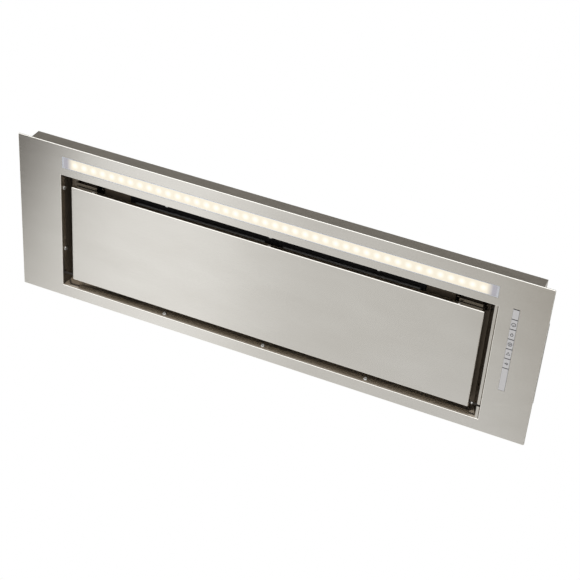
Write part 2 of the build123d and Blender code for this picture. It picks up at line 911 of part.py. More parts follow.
def make_filter_latch():
    """The sliding latch: a tongue over the recess ceiling, a lug for its spring and a grip under the filter."""
    half = latch_width / 2
    latch = block(-half, half, tongue_tip, latch_end, latch_low, latch_high)
    stem_y0, stem_y1 = latch_stem_span()
    stem_half = latch_stem_length / 2
    latch += block(-stem_half, stem_half, stem_y0, stem_y1, ceiling_low - latch_grip_drop, latch_high)
    grip_half = latch_grip_length / 2
    grip = block(
        -grip_half,
        grip_half,
        stem_y1 - latch_grip_depth,
        stem_y1,
        ceiling_low - latch_grip_drop,
        ceiling_low - latch_grip_drop + latch_plate,
    )
    latch += grip
    latch += block(
        -stem_half, stem_half, stem_y0, stem_y1, latch_high - latch_plate / 2, latch_high + latch_lug_height
    )
    return latch


def make_latch_spring():
    """The coil that pushes the tongue out, between the lug and the back of the housing."""
    start = latch_stem_span()[1]
    end = cup_rear - filter_sheet
    length = end - start - spring_wire
    path = Helix(pitch=length / spring_turns, height=length, radius=spring_radius)
    coil = sweep(Plane(path @ 0, z_dir=path % 0) * Circle(spring_wire / 2), path=path, is_frenet=True)
    z = latch_high + latch_lug_height / 2
    return Pos(0, start + spring_wire / 2, z) * Rot(-90, 0, 0) * coil


# Perimeter panel

def make_panel_tray():
    """The panel's shallow folded tray, with holes for its pins and rivets."""
    tray = block(-panel_x, panel_x, panel_front, panel_rear, plate_low, panel_top)
    tray = fillet(tray.edges().filter_by(Axis.Z), panel_round)
    tray = fillet(tray.faces().sort_by(Axis.Z)[0].edges(), panel_round)
    inset = panel_sheet
    tray -= block(
        -panel_x + inset, panel_x - inset, panel_front + inset, panel_rear - inset, panel_floor, panel_top + 1
    )
    tray -= rod_x(-2 * panel_x, 2 * panel_x, hinge_y, hinge_height, pin_radius + pin_fixed_gap)
    return drill(tray, panel_rivet_places(), rivet_radius + rivet_gap, 2 * panel_sheet)


def panel_rivet_places():
    """Seats on the panel's front flange, one at each stiffener."""
    return [seat(x, panel_front, rivet_z(), (0, -1, 0)) for x in (-stiffener_spread, 0, stiffener_spread)]


def rivet_z():
    """The height of the panel's rivets, midway up the hollow of a stiffener."""
    return panel_floor + (stiffener_height - stiffener_sheet) / 2


def make_stiffener(x):
    """A hat-shaped rib across the panel, closed at the front where a rivet holds it."""
    half = stiffener_width / 2
    channel = stiffener_channel / 2
    t = stiffener_sheet
    low = panel_floor
    high = low + stiffener_height
    front = panel_front + panel_sheet
    rear = panel_rear - panel_sheet
    rib = block(x - half, x + half, front, rear, low, low + t)
    rib += block(x - channel, x + channel, front, rear, low, high)
    rib -= block(x - channel + t, x + channel - t, front + t, rear + 1, low - 1, high - t)
    place = seat(x, panel_front, rivet_z(), (0, -1, 0))
    return drill(rib, [place], rivet_radius + rivet_gap, 4 * panel_sheet)


def make_hinge_arm():
    """The right-hand bracket inside the panel that carries a pin in two ears."""
    outer = panel_x - panel_sheet
    inner = outer - arm_reach
    y0 = hinge_y - arm_width / 2
    y1 = min(hinge_y + arm_width / 2, panel_rear - panel_sheet)
    arm = block(inner, outer, y0, y1, panel_floor, panel_floor + stiffener_sheet)
    for x in (inner, outer - arm_sheet):
        arm += block(x, x + arm_sheet, y0, y1, panel_floor, panel_top)
    return arm - rod_x(inner - 1, outer + 1, hinge_y, hinge_height, pin_radius + pin_fixed_gap)


def make_hinge_pins():
    """The two pins: the right-hand one has a small bright shoulder, by which it is slid in and out."""
    pin_root = panel_x - panel_sheet - arm_reach
    right, left = both_ends(rod_x(pin_root, pin_tip, hinge_y, hinge_height, pin_radius))
    shoulder_x = panel_x + shoulder_gap
    right += rod_x(shoulder_x, shoulder_x + pin_shoulder_thick, hinge_y, hinge_height, pin_shoulder_radius)
    return [right, left]


def make_hinge_block():
    """The right-hand bearing block on the faceplate's back, with an ear for its stud."""
    y0 = hinge_y - block_width / 2
    body = block(block_x, block_x + block_length, y0, hinge_y + block_width / 2, 0, block_height)
    body = chamfer(body.edges().filter_by(Axis.X).group_by(Axis.Z)[-1], block_bevel)
    body += block(block_x, block_x + block_length, y0 - block_ear, y0, 0, block_ear_thick)
    body -= rod_x(block_x - 1, block_x + block_length + 1, hinge_y, hinge_height, pin_radius + pin_running_gap)
    x, y = block_stud_places()[1]
    return body - rod(x, y, -1, block_ear_thick + 1, stud_radius + stud_gap)


# Spring catches

def make_catch_bracket():
    """The right-hand bracket under the recess ceiling, with a slot for the panel's blade."""
    x0 = catch_centre - catch_span / 2
    x1 = catch_centre + catch_span / 2
    y = blade_middle
    y0, y1 = y - catch_depth / 2, y + catch_depth / 2
    high = ceiling_low - catch_sheet
    bracket = block(x0, x1, y0, y1, catch_low, catch_low + catch_sheet)
    bracket += block(x0, x0 + catch_sheet, y0, y1, catch_low, ceiling_low)
    bracket += block(x1 - catch_sheet, x1, y0, y1, catch_low, ceiling_low)
    bracket += block(x0 - catch_foot, x0 + catch_sheet, y0, y1, high, ceiling_low)
    bracket += block(x1 - catch_sheet, x1 + catch_foot, y0, y1, high, ceiling_low)
    slot_x, slot_y = catch_slot_length / 2, catch_slot_width / 2
    slot_high = catch_low + 2 * catch_sheet
    slot_x0, slot_x1 = catch_centre - slot_x, catch_centre + slot_x
    bracket -= block(slot_x0, slot_x1, y - slot_y, y + slot_y, catch_low - 1, slot_high)
    return drill(bracket, catch_rivet_places(), rivet_radius + rivet_gap, 2 * catch_sheet)


def make_catch_leaves():
    """The two leaves of the right-hand spring clip, which pinch the blade."""
    foot = catch_low + catch_sheet
    near = blade_thick / 2 + leaf_gap
    base = catch_slot_width / 2 + leaf_thick
    line = [(base + leaf_foot, foot), (base, foot), (near, leaf_pinch), (near + leaf_flare, leaf_top)]
    outline = strip_points(line[::-1], leaf_thick)
    x0 = catch_centre - leaf_width / 2
    x1 = catch_centre + leaf_width / 2
    leaves = []
    for side in (-1, 1):
        points = [(blade_middle + side * out, z) for out, z in outline]
        leaves.append(profile_yz(points, x0, x1))
    return leaves


def make_catch_blade():
    """The right-hand blade inside the panel's front flange."""
    half = blade_width / 2
    blade_rear = blade_y + blade_thick
    blade = block(catch_centre - half, catch_centre + half, blade_y, blade_rear, panel_floor, blade_top)
    return chamfer(blade.edges().filter_by(Axis.Y).group_by(Axis.Z)[-1], blade_thick)


# Lamp

def make_lamp_profile():
    """The lamp's extruded channel, with flanges behind the plate and a hole for its cable."""
    half = profile_length / 2
    y0, y1 = lamp_y - lamp_width / 2, lamp_y + lamp_width / 2
    profile = block(-half, half, y0, y1, plate_low, lamp_top)
    profile += block(-half, half, y0 - lamp_front_flange, y1 + lamp_rear_flange, 0, lamp_wall)
    profile -= block(-half - 1, half + 1, y0 + lamp_wall, y1 - lamp_wall, plate_low - 1, profile_base)
    rib_low = plate_low + diffuser_thick
    for side in (-1, 1):
        edge = lamp_y + side * (lamp_width / 2 - lamp_wall)
        inner = edge - side * lamp_rib
        profile += block(-half, half, min(edge, inner), max(edge, inner), rib_low, rib_low + lamp_rib)
    for x, y in lamp_stud_places():
        profile -= rod(x, y, -1, 2 * lamp_wall, stud_radius + stud_gap)
    return profile - rod(cable_x, lamp_y, profile_base - 1, lamp_top + 1, cable_radius + cable_hole_gap)


def make_lamp_diffuser():
    """The opal cover in the lamp's mouth."""
    width = lamp_width - 2 * lamp_wall - 2 * diffuser_fit
    return slab(profile_length, width, lamp_y, plate_low, plate_low + diffuser_thick)


def make_lamp_cap(side):
    """A cap at one end of the lamp's channel."""
    end = side * lamp_length / 2
    start = side * profile_length / 2
    return block(
        min(start, end), max(start, end), lamp_y - lamp_width / 2, lamp_y + lamp_width / 2, plate_low, lamp_top
    )


def make_lamp_board():
    """The strip board that carries the light chips."""
    return slab(led_board_length, led_board_width, lamp_y, led_board_low, profile_base)


def make_lamp_chips():
    """The row of light chips under the board."""
    chips = []
    for i in range(led_count):
        x = (i - (led_count - 1) / 2) * led_pitch
        chip = slab(led_chip_length, led_chip_width, lamp_y, led_board_low - led_chip_height, led_board_low)
        chips.append(Pos(x, 0, 0) * chip)
    return chips


def make_lamp_driver():
    """The lamp's power supply, with an ear at each end."""
    half = box_length / 2
    body = block(
        box_from_centre - half,
        box_from_centre + half,
        driver_front,
        driver_rear,
        casing_height,
        casing_height + driver_height,
    )
    body = fillet(body.edges().filter_by(Axis.Z), driver_edge_round)
    middle = (driver_front + driver_rear) / 2
    body += block(
        box_from_centre - half - driver_ear,
        box_from_centre + half + driver_ear,
        middle - driver_ear,
        middle + driver_ear,
        casing_height,
        casing_height + driver_ear_thick,
    )
    return drill(body, driver_screw_places(), screw_radius + screw_hole_gap, 2 * driver_ear_thick)


# Controls

def key_place(i):
    """The middle of a key, front to back; the blank cap is number 0 and the keys follow it."""
    return strip_start + key_pitch * (i + 0.5)


def cap_block(y0, y1):
    """A cap of the control strip with its lip behind the plate."""
    half = strip_width / 2
    lip = half + key_lip
    cap = block(strip_from_centre - half, strip_from_centre + half, y0, y1, strip_low, lip_low + key_lip_thick)
    front = cap.faces().sort_by(Axis.Z)[0]
    cap = fillet(front.edges(), strip_proud / 3)
    cap += block(strip_from_centre - lip, strip_from_centre + lip, y0, y1, lip_low, lip_low + key_lip_thick)
    return cap


def make_key(i):
    """A push key: its cap, lip and stem."""
    y = key_place(i)
    half = (key_pitch - key_gap) / 2
    key = cap_block(y - half, y + half)
    return key + rod(strip_from_centre, y, lip_low, plunger_low, key_stem_radius)


def make_plunger(i):
    """The plunger of the switch behind a key."""
    return rod(strip_from_centre, key_place(i), plunger_low, plunger_low + plunger_length, plunger_radius)


def make_switch(i):
    """A switch case on the board, with the hollow that its plunger runs in."""
    y = key_place(i)
    half = switch_size / 2
    case = block(
        strip_from_centre - half, strip_from_centre + half, y - half, y + half, switch_low, board_low
    )
    hollow_top = board_low - plunger_gap
    return case - rod(strip_from_centre, y, switch_low - 1, hollow_top, plunger_radius + plunger_gap)


def fixed_cap(y0, y1):
    """A cap that doesn't move, seated against the carrier's bridge."""
    half = strip_width / 2
    cap = cap_block(y0 + key_gap / 2, y1 - key_gap / 2)
    return cap + block(
        strip_from_centre - half / 2,
        strip_from_centre + half / 2,
        y0 + key_gap,
        y1 - key_gap,
        lip_low,
        bridge_low,
    )


def make_control_carrier():
    """The moulded frame behind the control strip, with a bridge that guides the key stems."""
    half = carrier_width / 2
    y0, y1 = strip_middle - carrier_length / 2, strip_middle + carrier_length / 2
    room = strip_width / 2 + key_lip + carrier_lip_gap
    wall = room + carrier_wall
    x = strip_from_centre
    end0, end1 = strip_start - carrier_lip_gap, strip_end + carrier_lip_gap
    carrier = block(x - half, x + half, y0, y1, 0, carrier_base)
    carrier += block(x - wall, x + wall, end0 - carrier_wall, end1 + carrier_wall, 0, carrier_height)
    carrier -= block(x - room, x + room, end0, end1, -1, bridge_low)
    carrier -= block(
        x - room, x + room, end0, end1, bridge_low + carrier_bridge, carrier_height + 1
    )
    for i in range(1, key_count + 1):
        carrier -= rod(x, key_place(i), 0, carrier_height, key_stem_radius + key_stem_gap)
    for stud_x, stud_y in control_stud_places():
        carrier -= rod(stud_x, stud_y, -1, 2 * carrier_base, stud_radius + stud_gap)
    return carrier


def make_control_board():
    """The circuit board on top of the carrier."""
    wall = strip_width / 2 + key_lip + carrier_lip_gap + carrier_wall
    end = carrier_lip_gap + carrier_wall
    return block(
        strip_from_centre - wall,
        strip_from_centre + wall,
        strip_start - end,
        strip_end + end,
        board_low,
        board_low + board_thick,
    )


# Electrical boxes and cables

def lamp_cable_rise_y():
    """Where the lamp's cable comes up through the deck."""
    return driver_front - lamp_cable_gap


def box_ends():
    """The wiring box's two ends along X."""
    half = box_length / 2
    return box_from_centre - half, box_from_centre + half


def gland_slot_ends():
    """How far the grooves for the gland plate reach along X."""
    x0, x1 = box_ends()
    reach = 2 * box_post - gland_plate_tongue
    return x0 + reach, x1 - reach


def make_junction_box():
    """The wiring box, open at its top and rear, with posts for its lid and grooves for the gland plate."""
    x0, x1 = box_ends()
    floor = casing_height + box_wall
    box = block(x0, x1, box_front, box_lip, casing_height, box_top)
    box -= block(x0 + box_wall, x1 - box_wall, box_front + box_wall, box_lip + 1, floor, box_top + 1)
    for place in lid_screw_places():
        box += rod(place.origin.X, place.origin.Y, casing_height, box_top, box_post)
    corner_front = box_rear - 2 * box_post
    box += block(x0, x0 + 2 * box_post, corner_front, box_lip, casing_height, box_top)
    box += block(x1 - 2 * box_post, x1, corner_front, box_lip, casing_height, box_top)
    slot0, slot1 = gland_slot_ends()
    slot_front = box_rear - gland_plate_thick - gland_plate_fit
    box -= block(slot0, slot1, slot_front, box_rear + gland_plate_fit, floor, box_top + 1)
    box = drill(box, lid_screw_places(), screw_radius + screw_hole_gap, screw_length + lid_thick)
    box = drill(box, box_screw_places(), screw_radius + screw_hole_gap, 2 * box_wall)
    hole = cable_radius + cable_hole_gap
    box -= rod(strip_from_centre, control_cable_y, casing_height - 1, casing_height + 2 * box_wall, hole)
    box -= rod_y(driver_cable_x, box_front - 1, box_front + 2 * box_wall, driver_cable_z(), hole)
    return box


def make_junction_lid():
    """The lid of the wiring box, with a rim that drops inside its walls."""
    x0, x1 = box_ends()
    lid = block(x0, x1, box_front, box_lip, box_top, box_top + lid_thick)
    lid = fillet(lid.edges().filter_by(Axis.Z), lid_thick)
    lid = drill(lid, lid_screw_places(), screw_radius + screw_hole_gap, 2 * lid_thick)
    inset = 2 * box_post + lid_fit
    rim_front = box_front + box_wall + lid_fit
    rim_rear = box_rear - gland_plate_thick - lid_fit
    rim = block(x0 + inset, x1 - inset, rim_front, rim_rear, box_top - lid_thick, box_top)
    return lid + rim


def gland_places():
    """The two glands, across the plate at the box's rear."""
    return [box_from_centre - gland_spread, box_from_centre + gland_spread]


def make_gland_plate():
    """The plate that closes the wiring box's rear: it slides down into grooves and holds the glands."""
    slot0, slot1 = gland_slot_ends()
    plate_front = box_rear - gland_plate_thick
    plate = block(
        slot0 + gland_plate_fit,
        slot1 - gland_plate_fit,
        plate_front,
        box_rear,
        casing_height + box_wall,
        box_top,
    )
    for x in gland_places():
        plate -= rod_y(x, plate_front - 1, box_rear + 1, gland_z, gland_thread + gland_gap)
    return plate


def make_gland(x):
    """A cable gland: a hexagon outside the plate, a domed nut, and its thread and ring inside."""
    hexagon = extrude(RegularPolygon(gland_nut_size / 2, 6, major_radius=False), gland_body)
    dome = rod(0, 0, gland_body, gland_body + gland_dome, gland_dome_radius)
    dome = fillet(dome.edges().sort_by(Axis.Z)[-1], gland_dome_round)
    thread = rod(0, 0, -gland_thread_length, 0, gland_thread)
    ring = extrude(RegularPolygon(gland_nut_size / 2, 6, major_radius=False), -gland_ring)
    ring = Pos(0, 0, -gland_plate_thick - gland_gap) * ring
    gland = hexagon + dome + thread + ring
    gland -= rod(0, 0, -2 * gland_thread_length, 2 * (gland_body + gland_dome), gland_bore)
    return Pos(x, box_rear, gland_z) * Rot(-90, 0, 0) * gland


def make_terminal_block():
    """The terminal block on the floor of the wiring box."""
    low = casing_height + box_wall
    x0 = box_from_centre - terminal_length / 2
    y0, y1 = box_back - terminal_width / 2, box_back + terminal_width / 2
    body = block(x0, x0 + terminal_length, y0, y1, low, low + terminal_height)
    pitch = terminal_length / terminal_ways
    for i in range(terminal_ways):
        x = x0 + (i + 0.5) * pitch
        body -= rod_y(x, y0 - 1, y1 + 1, low + terminal_height / 2, terminal_hole)
        body -= rod(x, box_back, low + terminal_height / 2, low + 2 * terminal_height, terminal_hole)
    return body


def driver_cable_z():
    """The height of the cable between the driver and the wiring box."""
    return casing_height + driver_height / 2


def cable(points, bend):
    """A cable along straight runs joined by arcs."""
    path = FilletPolyline(*points, radius=bend) if len(points) > 2 else Line(*points)
    return sweep(Plane(path @ 0, z_dir=path % 0) * Circle(cable_radius), path=path)


def make_lamp_cable():
    """From the lamp's board, over the recess ceiling and up through the deck to the driver."""
    middle = (ceiling_high + deck_low) / 2
    rise = lamp_cable_rise_y()
    entry = casing_height + driver_height / 2
    return cable(
        [
            (cable_x, lamp_y, profile_base),
            (cable_x, lamp_y, middle),
            (cable_x, rise, middle),
            (cable_x, rise, entry),
            (cable_x, driver_front, entry),
        ],
        cable_bend,
    )


def make_control_cable():
    """From the control board up into the wiring box and across to the terminals."""
    low = board_low + board_thick
    high = casing_height + box_wall + terminal_height / 2
    return cable(
        [
            (strip_from_centre, control_cable_y, low),
            (strip_from_centre, control_cable_y, high),
            (box_from_centre + terminal_length / 4, control_cable_y, high),
            (box_from_centre + terminal_length / 4, box_back + terminal_width / 2, high),
        ],
        cable_bend,
    )


def make_driver_cable():
    """From the driver into the wiring box."""
    z = driver_cable_z()
    return cable([(driver_cable_x, driver_rear, z), (driver_cable_x, box_front + 3 * box_wall, z)], cable_bend)


# Cabinet brackets

def make_mounting_bracket():
    """The right-hand angle that stands on the cabinet's floor, slotted for height."""
    half = bracket_length / 2
    high = casing_height - casing_sheet
    foot_high = cabinet_floor + bracket_sheet
    bracket = block(casing_x, casing_x + bracket_sheet, -half, half, cabinet_floor, high)
    bracket += block(casing_x, casing_x + bracket_reach, -half, half, cabinet_floor, foot_high)
    for side in (-1, 1):
        hole_x, hole_y = casing_x + bracket_hole_out, side * bracket_hole_spread
        bracket -= rod(hole_x, hole_y, cabinet_floor - 1, foot_high + 1, bracket_hole)
        slot_half = bracket_slot_length / 2
        width = screw_radius + screw_hole_gap
        y = side * bracket_screw_spread
        slot = rod_x(casing_x - 1, casing_x + 2 * bracket_sheet, y, bracket_screw_z, width)
        slot += Pos(0, slot_half - width, 0) * slot + Pos(0, width - slot_half, 0) * slot
        bracket -= slot
    return bracket


def nuts():
    """Every stud nut behind the faceplate."""
    nut = hex_nut()
    placed = [Pos(x, y, lamp_wall) * nut for x, y in lamp_stud_places()]
    placed += [Pos(x, y, carrier_base) * nut for x, y in control_stud_places()]
    placed += [Pos(x, y, block_ear_thick) * nut for x, y in block_stud_places()]
    return placed


def build():
    """Makes every sub-part and writes it."""
    os.makedirs("parts", exist_ok=True)
    save("faceplate", make_faceplate())
    save("recess_frame", make_recess_frame())
    save("casing_shell", make_casing_shell())
    save("plenum_cover", make_plenum_cover())
    save("outlet_collar", make_outlet_collar())
    save("damper_pin", make_damper_pin())
    save("damper_flap_front", make_damper_flap(-1))
    save("damper_flap_rear", make_damper_flap(1))

    save("filter_frame", make_filter_frame())
    save("filter_mesh_lower", make_filter_mesh(pocket_low))
    save("filter_mesh_upper", make_filter_mesh(pocket_high - mesh_thick))
    save("filter_core", make_filter_core())
    save("filter_seal", make_filter_seal())
    save("filter_latch", make_filter_latch())
    save("latch_spring", make_latch_spring())

    save("panel_tray", make_panel_tray())
    save("panel_stiffeners", *[make_stiffener(x) for x in (-stiffener_spread, 0, stiffener_spread)])
    arm_left, arm_right = both_ends(make_hinge_arm())[::-1]
    save("hinge_arm_left", arm_left)
    save("hinge_arm_right", arm_right)
    save("hinge_pins", *make_hinge_pins())
    save("hinge_blocks", *both_ends(make_hinge_block()))
    save("catch_brackets", *both_ends(make_catch_bracket()))
    save("catch_springs", *[twin for leaf in make_catch_leaves() for twin in both_ends(leaf)])
    save("catch_blades", *both_ends(make_catch_blade()))

    save("lamp_profile", make_lamp_profile())
    save("lamp_diffuser", make_lamp_diffuser())
    save("lamp_end_caps", make_lamp_cap(-1), make_lamp_cap(1))
    save("lamp_board", make_lamp_board())
    save("lamp_chips", *make_lamp_chips())
    save("lamp_driver", make_lamp_driver())

    save("control_carrier", make_control_carrier())
    save("control_board", make_control_board())
    save("control_blank_cap", fixed_cap(strip_start, strip_start + key_pitch))
    save("control_name_strip", fixed_cap(strip_end - name_length, strip_end))
    save("control_switches", *[make_switch(i) for i in range(1, key_count + 1)])
    for i in range(1, key_count + 1):
        save(f"control_key_{i}", make_key(i))
        save(f"switch_plunger_{i}", make_plunger(i))

    save("junction_box", make_junction_box())
    save("junction_lid", make_junction_lid())
    save("gland_plate", make_gland_plate())
    save("terminal_block", make_terminal_block())
    save("cable_glands", *[make_gland(x) for x in gland_places()])
    save("lamp_cable", make_lamp_cable())
    save("control_cable", make_control_cable())
    save("driver_cable", make_driver_cable())

    bracket_left, bracket_right = both_ends(make_mounting_bracket())[::-1]
    save("mounting_bracket_left", bracket_left)
    save("mounting_bracket_right", bracket_right)

    screw = pan_screw()
    save("recess_screws", *[place.location * screw for place in recess_screw_places()])
    casing_places = plenum_screw_places() + bracket_screw_places() + driver_screw_places()
    casing_places += box_screw_places() + lid_screw_places()
    save("casing_screws", *[place.location * screw for place in casing_places])
    ceiling_rivet = rivet(catch_sheet + recess_sheet)
    flange_rivet = rivet(collar_sheet + plenum_sheet)
    save(
        "body_rivets",
        *[place.location * ceiling_rivet for place in catch_rivet_places()],
        *[place.location * flange_rivet for place in collar_rivet_places()],
    )
    panel_rivet = rivet(panel_sheet + stiffener_sheet)
    save("panel_rivets", *[place.location * panel_rivet for place in panel_rivet_places()])
    save("stud_nuts", *nuts())


build()
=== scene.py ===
import json
import math

import bmesh
import bpy
from mathutils import Matrix, Vector


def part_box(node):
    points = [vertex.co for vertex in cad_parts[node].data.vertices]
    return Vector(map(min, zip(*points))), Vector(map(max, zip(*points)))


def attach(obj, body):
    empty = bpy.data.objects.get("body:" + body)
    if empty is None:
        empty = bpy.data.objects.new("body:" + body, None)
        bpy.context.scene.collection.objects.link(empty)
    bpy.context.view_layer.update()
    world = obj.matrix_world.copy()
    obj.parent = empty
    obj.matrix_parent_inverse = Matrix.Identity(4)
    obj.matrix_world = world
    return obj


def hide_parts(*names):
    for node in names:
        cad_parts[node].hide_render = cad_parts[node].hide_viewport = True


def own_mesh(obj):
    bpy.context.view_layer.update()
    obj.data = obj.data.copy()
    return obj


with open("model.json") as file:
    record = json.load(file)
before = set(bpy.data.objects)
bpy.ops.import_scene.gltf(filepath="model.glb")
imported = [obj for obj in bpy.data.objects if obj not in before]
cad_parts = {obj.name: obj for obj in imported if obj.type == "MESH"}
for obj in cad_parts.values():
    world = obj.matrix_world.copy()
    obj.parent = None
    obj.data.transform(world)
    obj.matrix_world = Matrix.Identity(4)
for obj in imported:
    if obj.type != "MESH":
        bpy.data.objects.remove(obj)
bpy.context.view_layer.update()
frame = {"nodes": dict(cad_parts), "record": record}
nodes = frame["nodes"]
mm = 0.001


def addNode(tree, kind, **values):
    node = tree.nodes.new(kind)
    for name, value in values.items():
        setattr(node, name, value)
    return node


def calculate(tree, operation, first, second=None):
    node = addNode(tree, "ShaderNodeMath", operation=operation)
    for socket, value in zip(node.inputs, (first, second)):
        if value is None:
            continue
        if isinstance(value, (int, float)):
            socket.default_value = value
        else:
            tree.links.new(value, socket)
    return node.outputs["Value"]


def objectPattern(tree, stretch):
    # the piece's own coordinates in metres, stretched for a grain or a speckle
    coords = addNode(tree, "ShaderNodeTexCoord")
    mapping = addNode(tree, "ShaderNodeMapping")
    mapping.inputs["Scale"].default_value = stretch
    tree.links.new(coords.outputs["Object"], mapping.inputs["Vector"])
    return mapping.outputs["Vector"]


def axes(tree, output="Object"):
    # X, Y and Z of the piece's own coordinates, or of its surface's direction
    coords = addNode(tree, "ShaderNodeTexCoord")
    parts = addNode(tree, "ShaderNodeSeparateXYZ")
    tree.links.new(coords.outputs[output], parts.inputs["Vector"])
    return parts.outputs


def noise(tree, vector, scale, detail=3.0, roughness=0.5):
    node = addNode(tree, "ShaderNodeTexNoise")
    node.inputs["Scale"].default_value = scale
    node.inputs["Detail"].default_value = detail
    node.inputs["Roughness"].default_value = roughness
    tree.links.new(vector, node.inputs["Vector"])
    return node.outputs["Fac"]


def ramp(tree, value, low, high, fromColour, toColour):
    node = addNode(tree, "ShaderNodeValToRGB")
    node.color_ramp.elements[0].position = low
    node.color_ramp.elements[1].position = high
    node.color_ramp.elements[0].color = (*fromColour, 1)
    node.color_ramp.elements[1].color = (*toColour, 1)
    tree.links.new(value, node.inputs["Fac"])
    return node.outputs["Color"]


def spread(tree, value, low, high, toLow, toHigh):
    node = addNode(tree, "ShaderNodeMapRange")
    node.inputs["From Min"].default_value = low
    node.inputs["From Max"].default_value = high
    node.inputs["To Min"].default_value = toLow
    node.inputs["To Max"].default_value = toHigh
    tree.links.new(value, node.inputs["Value"])
    return node.outputs["Result"]


def bump(tree, height, strength, distance):
    node = addNode(tree, "ShaderNodeBump")
    node.inputs["Strength"].default_value = strength
    node.inputs["Distance"].default_value = distance
    tree.links.new(height, node.inputs["Height"])
    return node.outputs["Normal"]


def plainMaterial(name, metallic=0.0, specular=0.5):
    material = bpy.data.materials.new(name)
    material.use_nodes = True
    tree = material.node_tree
    shader = tree.nodes["Principled BSDF"]
    shader.inputs["Metallic"].default_value = metallic
    shader.inputs["Specular IOR Level"].default_value = specular
    return material, tree, shader


def heightSteps(tree, steps):
    # a colour for each height in the piece, in millimetres, with soft changes between
    top = steps[-1][0]
    node = addNode(tree, "ShaderNodeValToRGB")
    stops = node.color_ramp.elements
    while len(stops) < len(steps):
        stops.new(0.5)  # its place is set below
    for stop, (height, colour) in zip(stops, steps):
        stop.position = height / top
        stop.color = (*colour, 1)
    tree.links.new(spread(tree, axes(tree)["Z"], 0.0, top * mm, 0.0, 1.0), node.inputs["Fac"])
    return node.outputs["Color"]


def greySteps(steps):
    return [(height, (value, value, value)) for height, value in steps]


def mixed(tree, factor, first, second, blend="MIX"):
    # two colours, each a socket or a plain value
    node = addNode(tree, "ShaderNodeMix", data_type="RGBA", blend_type=blend)
    for socket, value in (("Factor", factor), ("A", first), ("B", second)):
        if isinstance(value, tuple):
            node.inputs[socket].default_value = (*value, 1)
        elif isinstance(value, float):
            node.inputs[socket].default_value = value
        else:
            tree.links.new(value, node.inputs[socket])
    return node.outputs["Result"]


# how a noise becomes a finish: the part of its range that colour and roughness span, its fineness,
# and the depth of its bumps
texture = {
    "low": 0.30,
    "high": 0.70,
    "speckHigh": 0.72,
    "cloudHigh": 0.75,
    "cloudStretch": (1.0, 2.5, 2.5),
    "cloudDetail": 2.0,
    "fineDetail": 4.0,
    "scratchRoughness": 0.65,
    "speckRoughness": 0.6,
    "scratchDepth": 0.2 * mm,
    "speckDepth": 0.3 * mm,
}


def brushedSteel(name, finish):
    # long fine scratches along X, which blur a reflection across them, over a faint cloudiness
    material, tree, shader = plainMaterial(name, metallic=1.0)
    low, high = texture["low"], texture["high"]
    grain = noise(
        tree,
        objectPattern(tree, finish["grainStretch"]),
        finish["grainScale"],
        texture["fineDetail"],
        texture["scratchRoughness"],
    )
    clouds = objectPattern(tree, texture["cloudStretch"])
    cloud = noise(tree, clouds, finish["cloudScale"], texture["cloudDetail"])
    streaks = ramp(tree, grain, low, high, finish["dark"], finish["light"])
    patches = ramp(tree, cloud, low, texture["cloudHigh"], finish["cloudLow"], (1, 1, 1))
    colour = mixed(tree, 1.0, streaks, patches, "MULTIPLY")
    roughness = spread(tree, grain, low, high, *finish["roughness"])
    if "heights" in finish:
        # brushed ledge, a painted shadow line beside the plate, and duller walls and ceiling that
        # painted shade darkens, most at the ceiling
        place = axes(tree)
        beyond = calculate(tree, "GREATER_THAN", place["X"], finish["ledgeFrom"])
        below = calculate(tree, "LESS_THAN", place["Z"], finish["ledgeTop"])
        ledge = calculate(tree, "MULTIPLY", beyond, below)
        outside = calculate(tree, "GREATER_THAN", place["X"], finish["shadowLineFrom"])
        shadowLine = calculate(tree, "MULTIPLY", ledge, outside)
        shadeTones = mixed(tree, ledge, heightSteps(tree, finish["heights"]), (1, 1, 1))
        shadeTones = mixed(tree, shadowLine, shadeTones, finish["shadowLineTone"])
        colour = mixed(tree, 1.0, colour, shadeTones, "MULTIPLY")
        wallRough = heightSteps(tree, greySteps(finish["roughHeights"]))
        extra = mixed(tree, ledge, wallRough, (finish["ledgeRough"],) * 3)
        roughness = calculate(tree, "ADD", roughness, extra)
        wallMetal = heightSteps(tree, greySteps(finish["metalHeights"]))
        tree.links.new(mixed(tree, ledge, wallMetal, (1, 1, 1)), shader.inputs["Metallic"])
    if "bend" in finish:
        # painted highlight: bends and cut edges are lightened to stand in for the bright
        # reflections along them
        level = calculate(tree, "ABSOLUTE", axes(tree, "Normal")["Z"])
        leaning = calculate(tree, "GREATER_THAN", level, finish["bendSlopes"][0])
        turned = calculate(tree, "LESS_THAN", level, finish["bendSlopes"][1])
        colour = mixed(tree, calculate(tree, "MULTIPLY", leaning, turned), colour, finish["bend"])
    tangent = addNode(tree, "ShaderNodeCombineXYZ")
    tangent.inputs["Y"].default_value = 1.0
    scratches = bump(tree, grain, finish["bump"], texture["scratchDepth"])
    shader.inputs["Anisotropic"].default_value = finish["anisotropy"]
    tree.links.new(tangent.outputs["Vector"], shader.inputs["Tangent"])
    tree.links.new(colour, shader.inputs["Base Color"])
    tree.links.new(roughness, shader.inputs["Roughness"])
    tree.links.new(scratches, shader.inputs["Normal"])
    return material


def speckle(tree, shader, pattern, finish):
    # colour, roughness and bump that follow one noise
    low, high = texture["low"], texture["high"]
    colour = ramp(tree, pattern, low, texture["speckHigh"], finish["dark"], finish["light"])
    roughness = spread(tree, pattern, low, high, *finish["roughness"])
    normal = bump(tree, pattern, finish["bump"], texture["speckDepth"])
    tree.links.new(colour, shader.inputs["Base Color"])
    tree.links.new(roughness, shader.inputs["Roughness"])
    tree.links.new(normal, shader.inputs["Normal"])


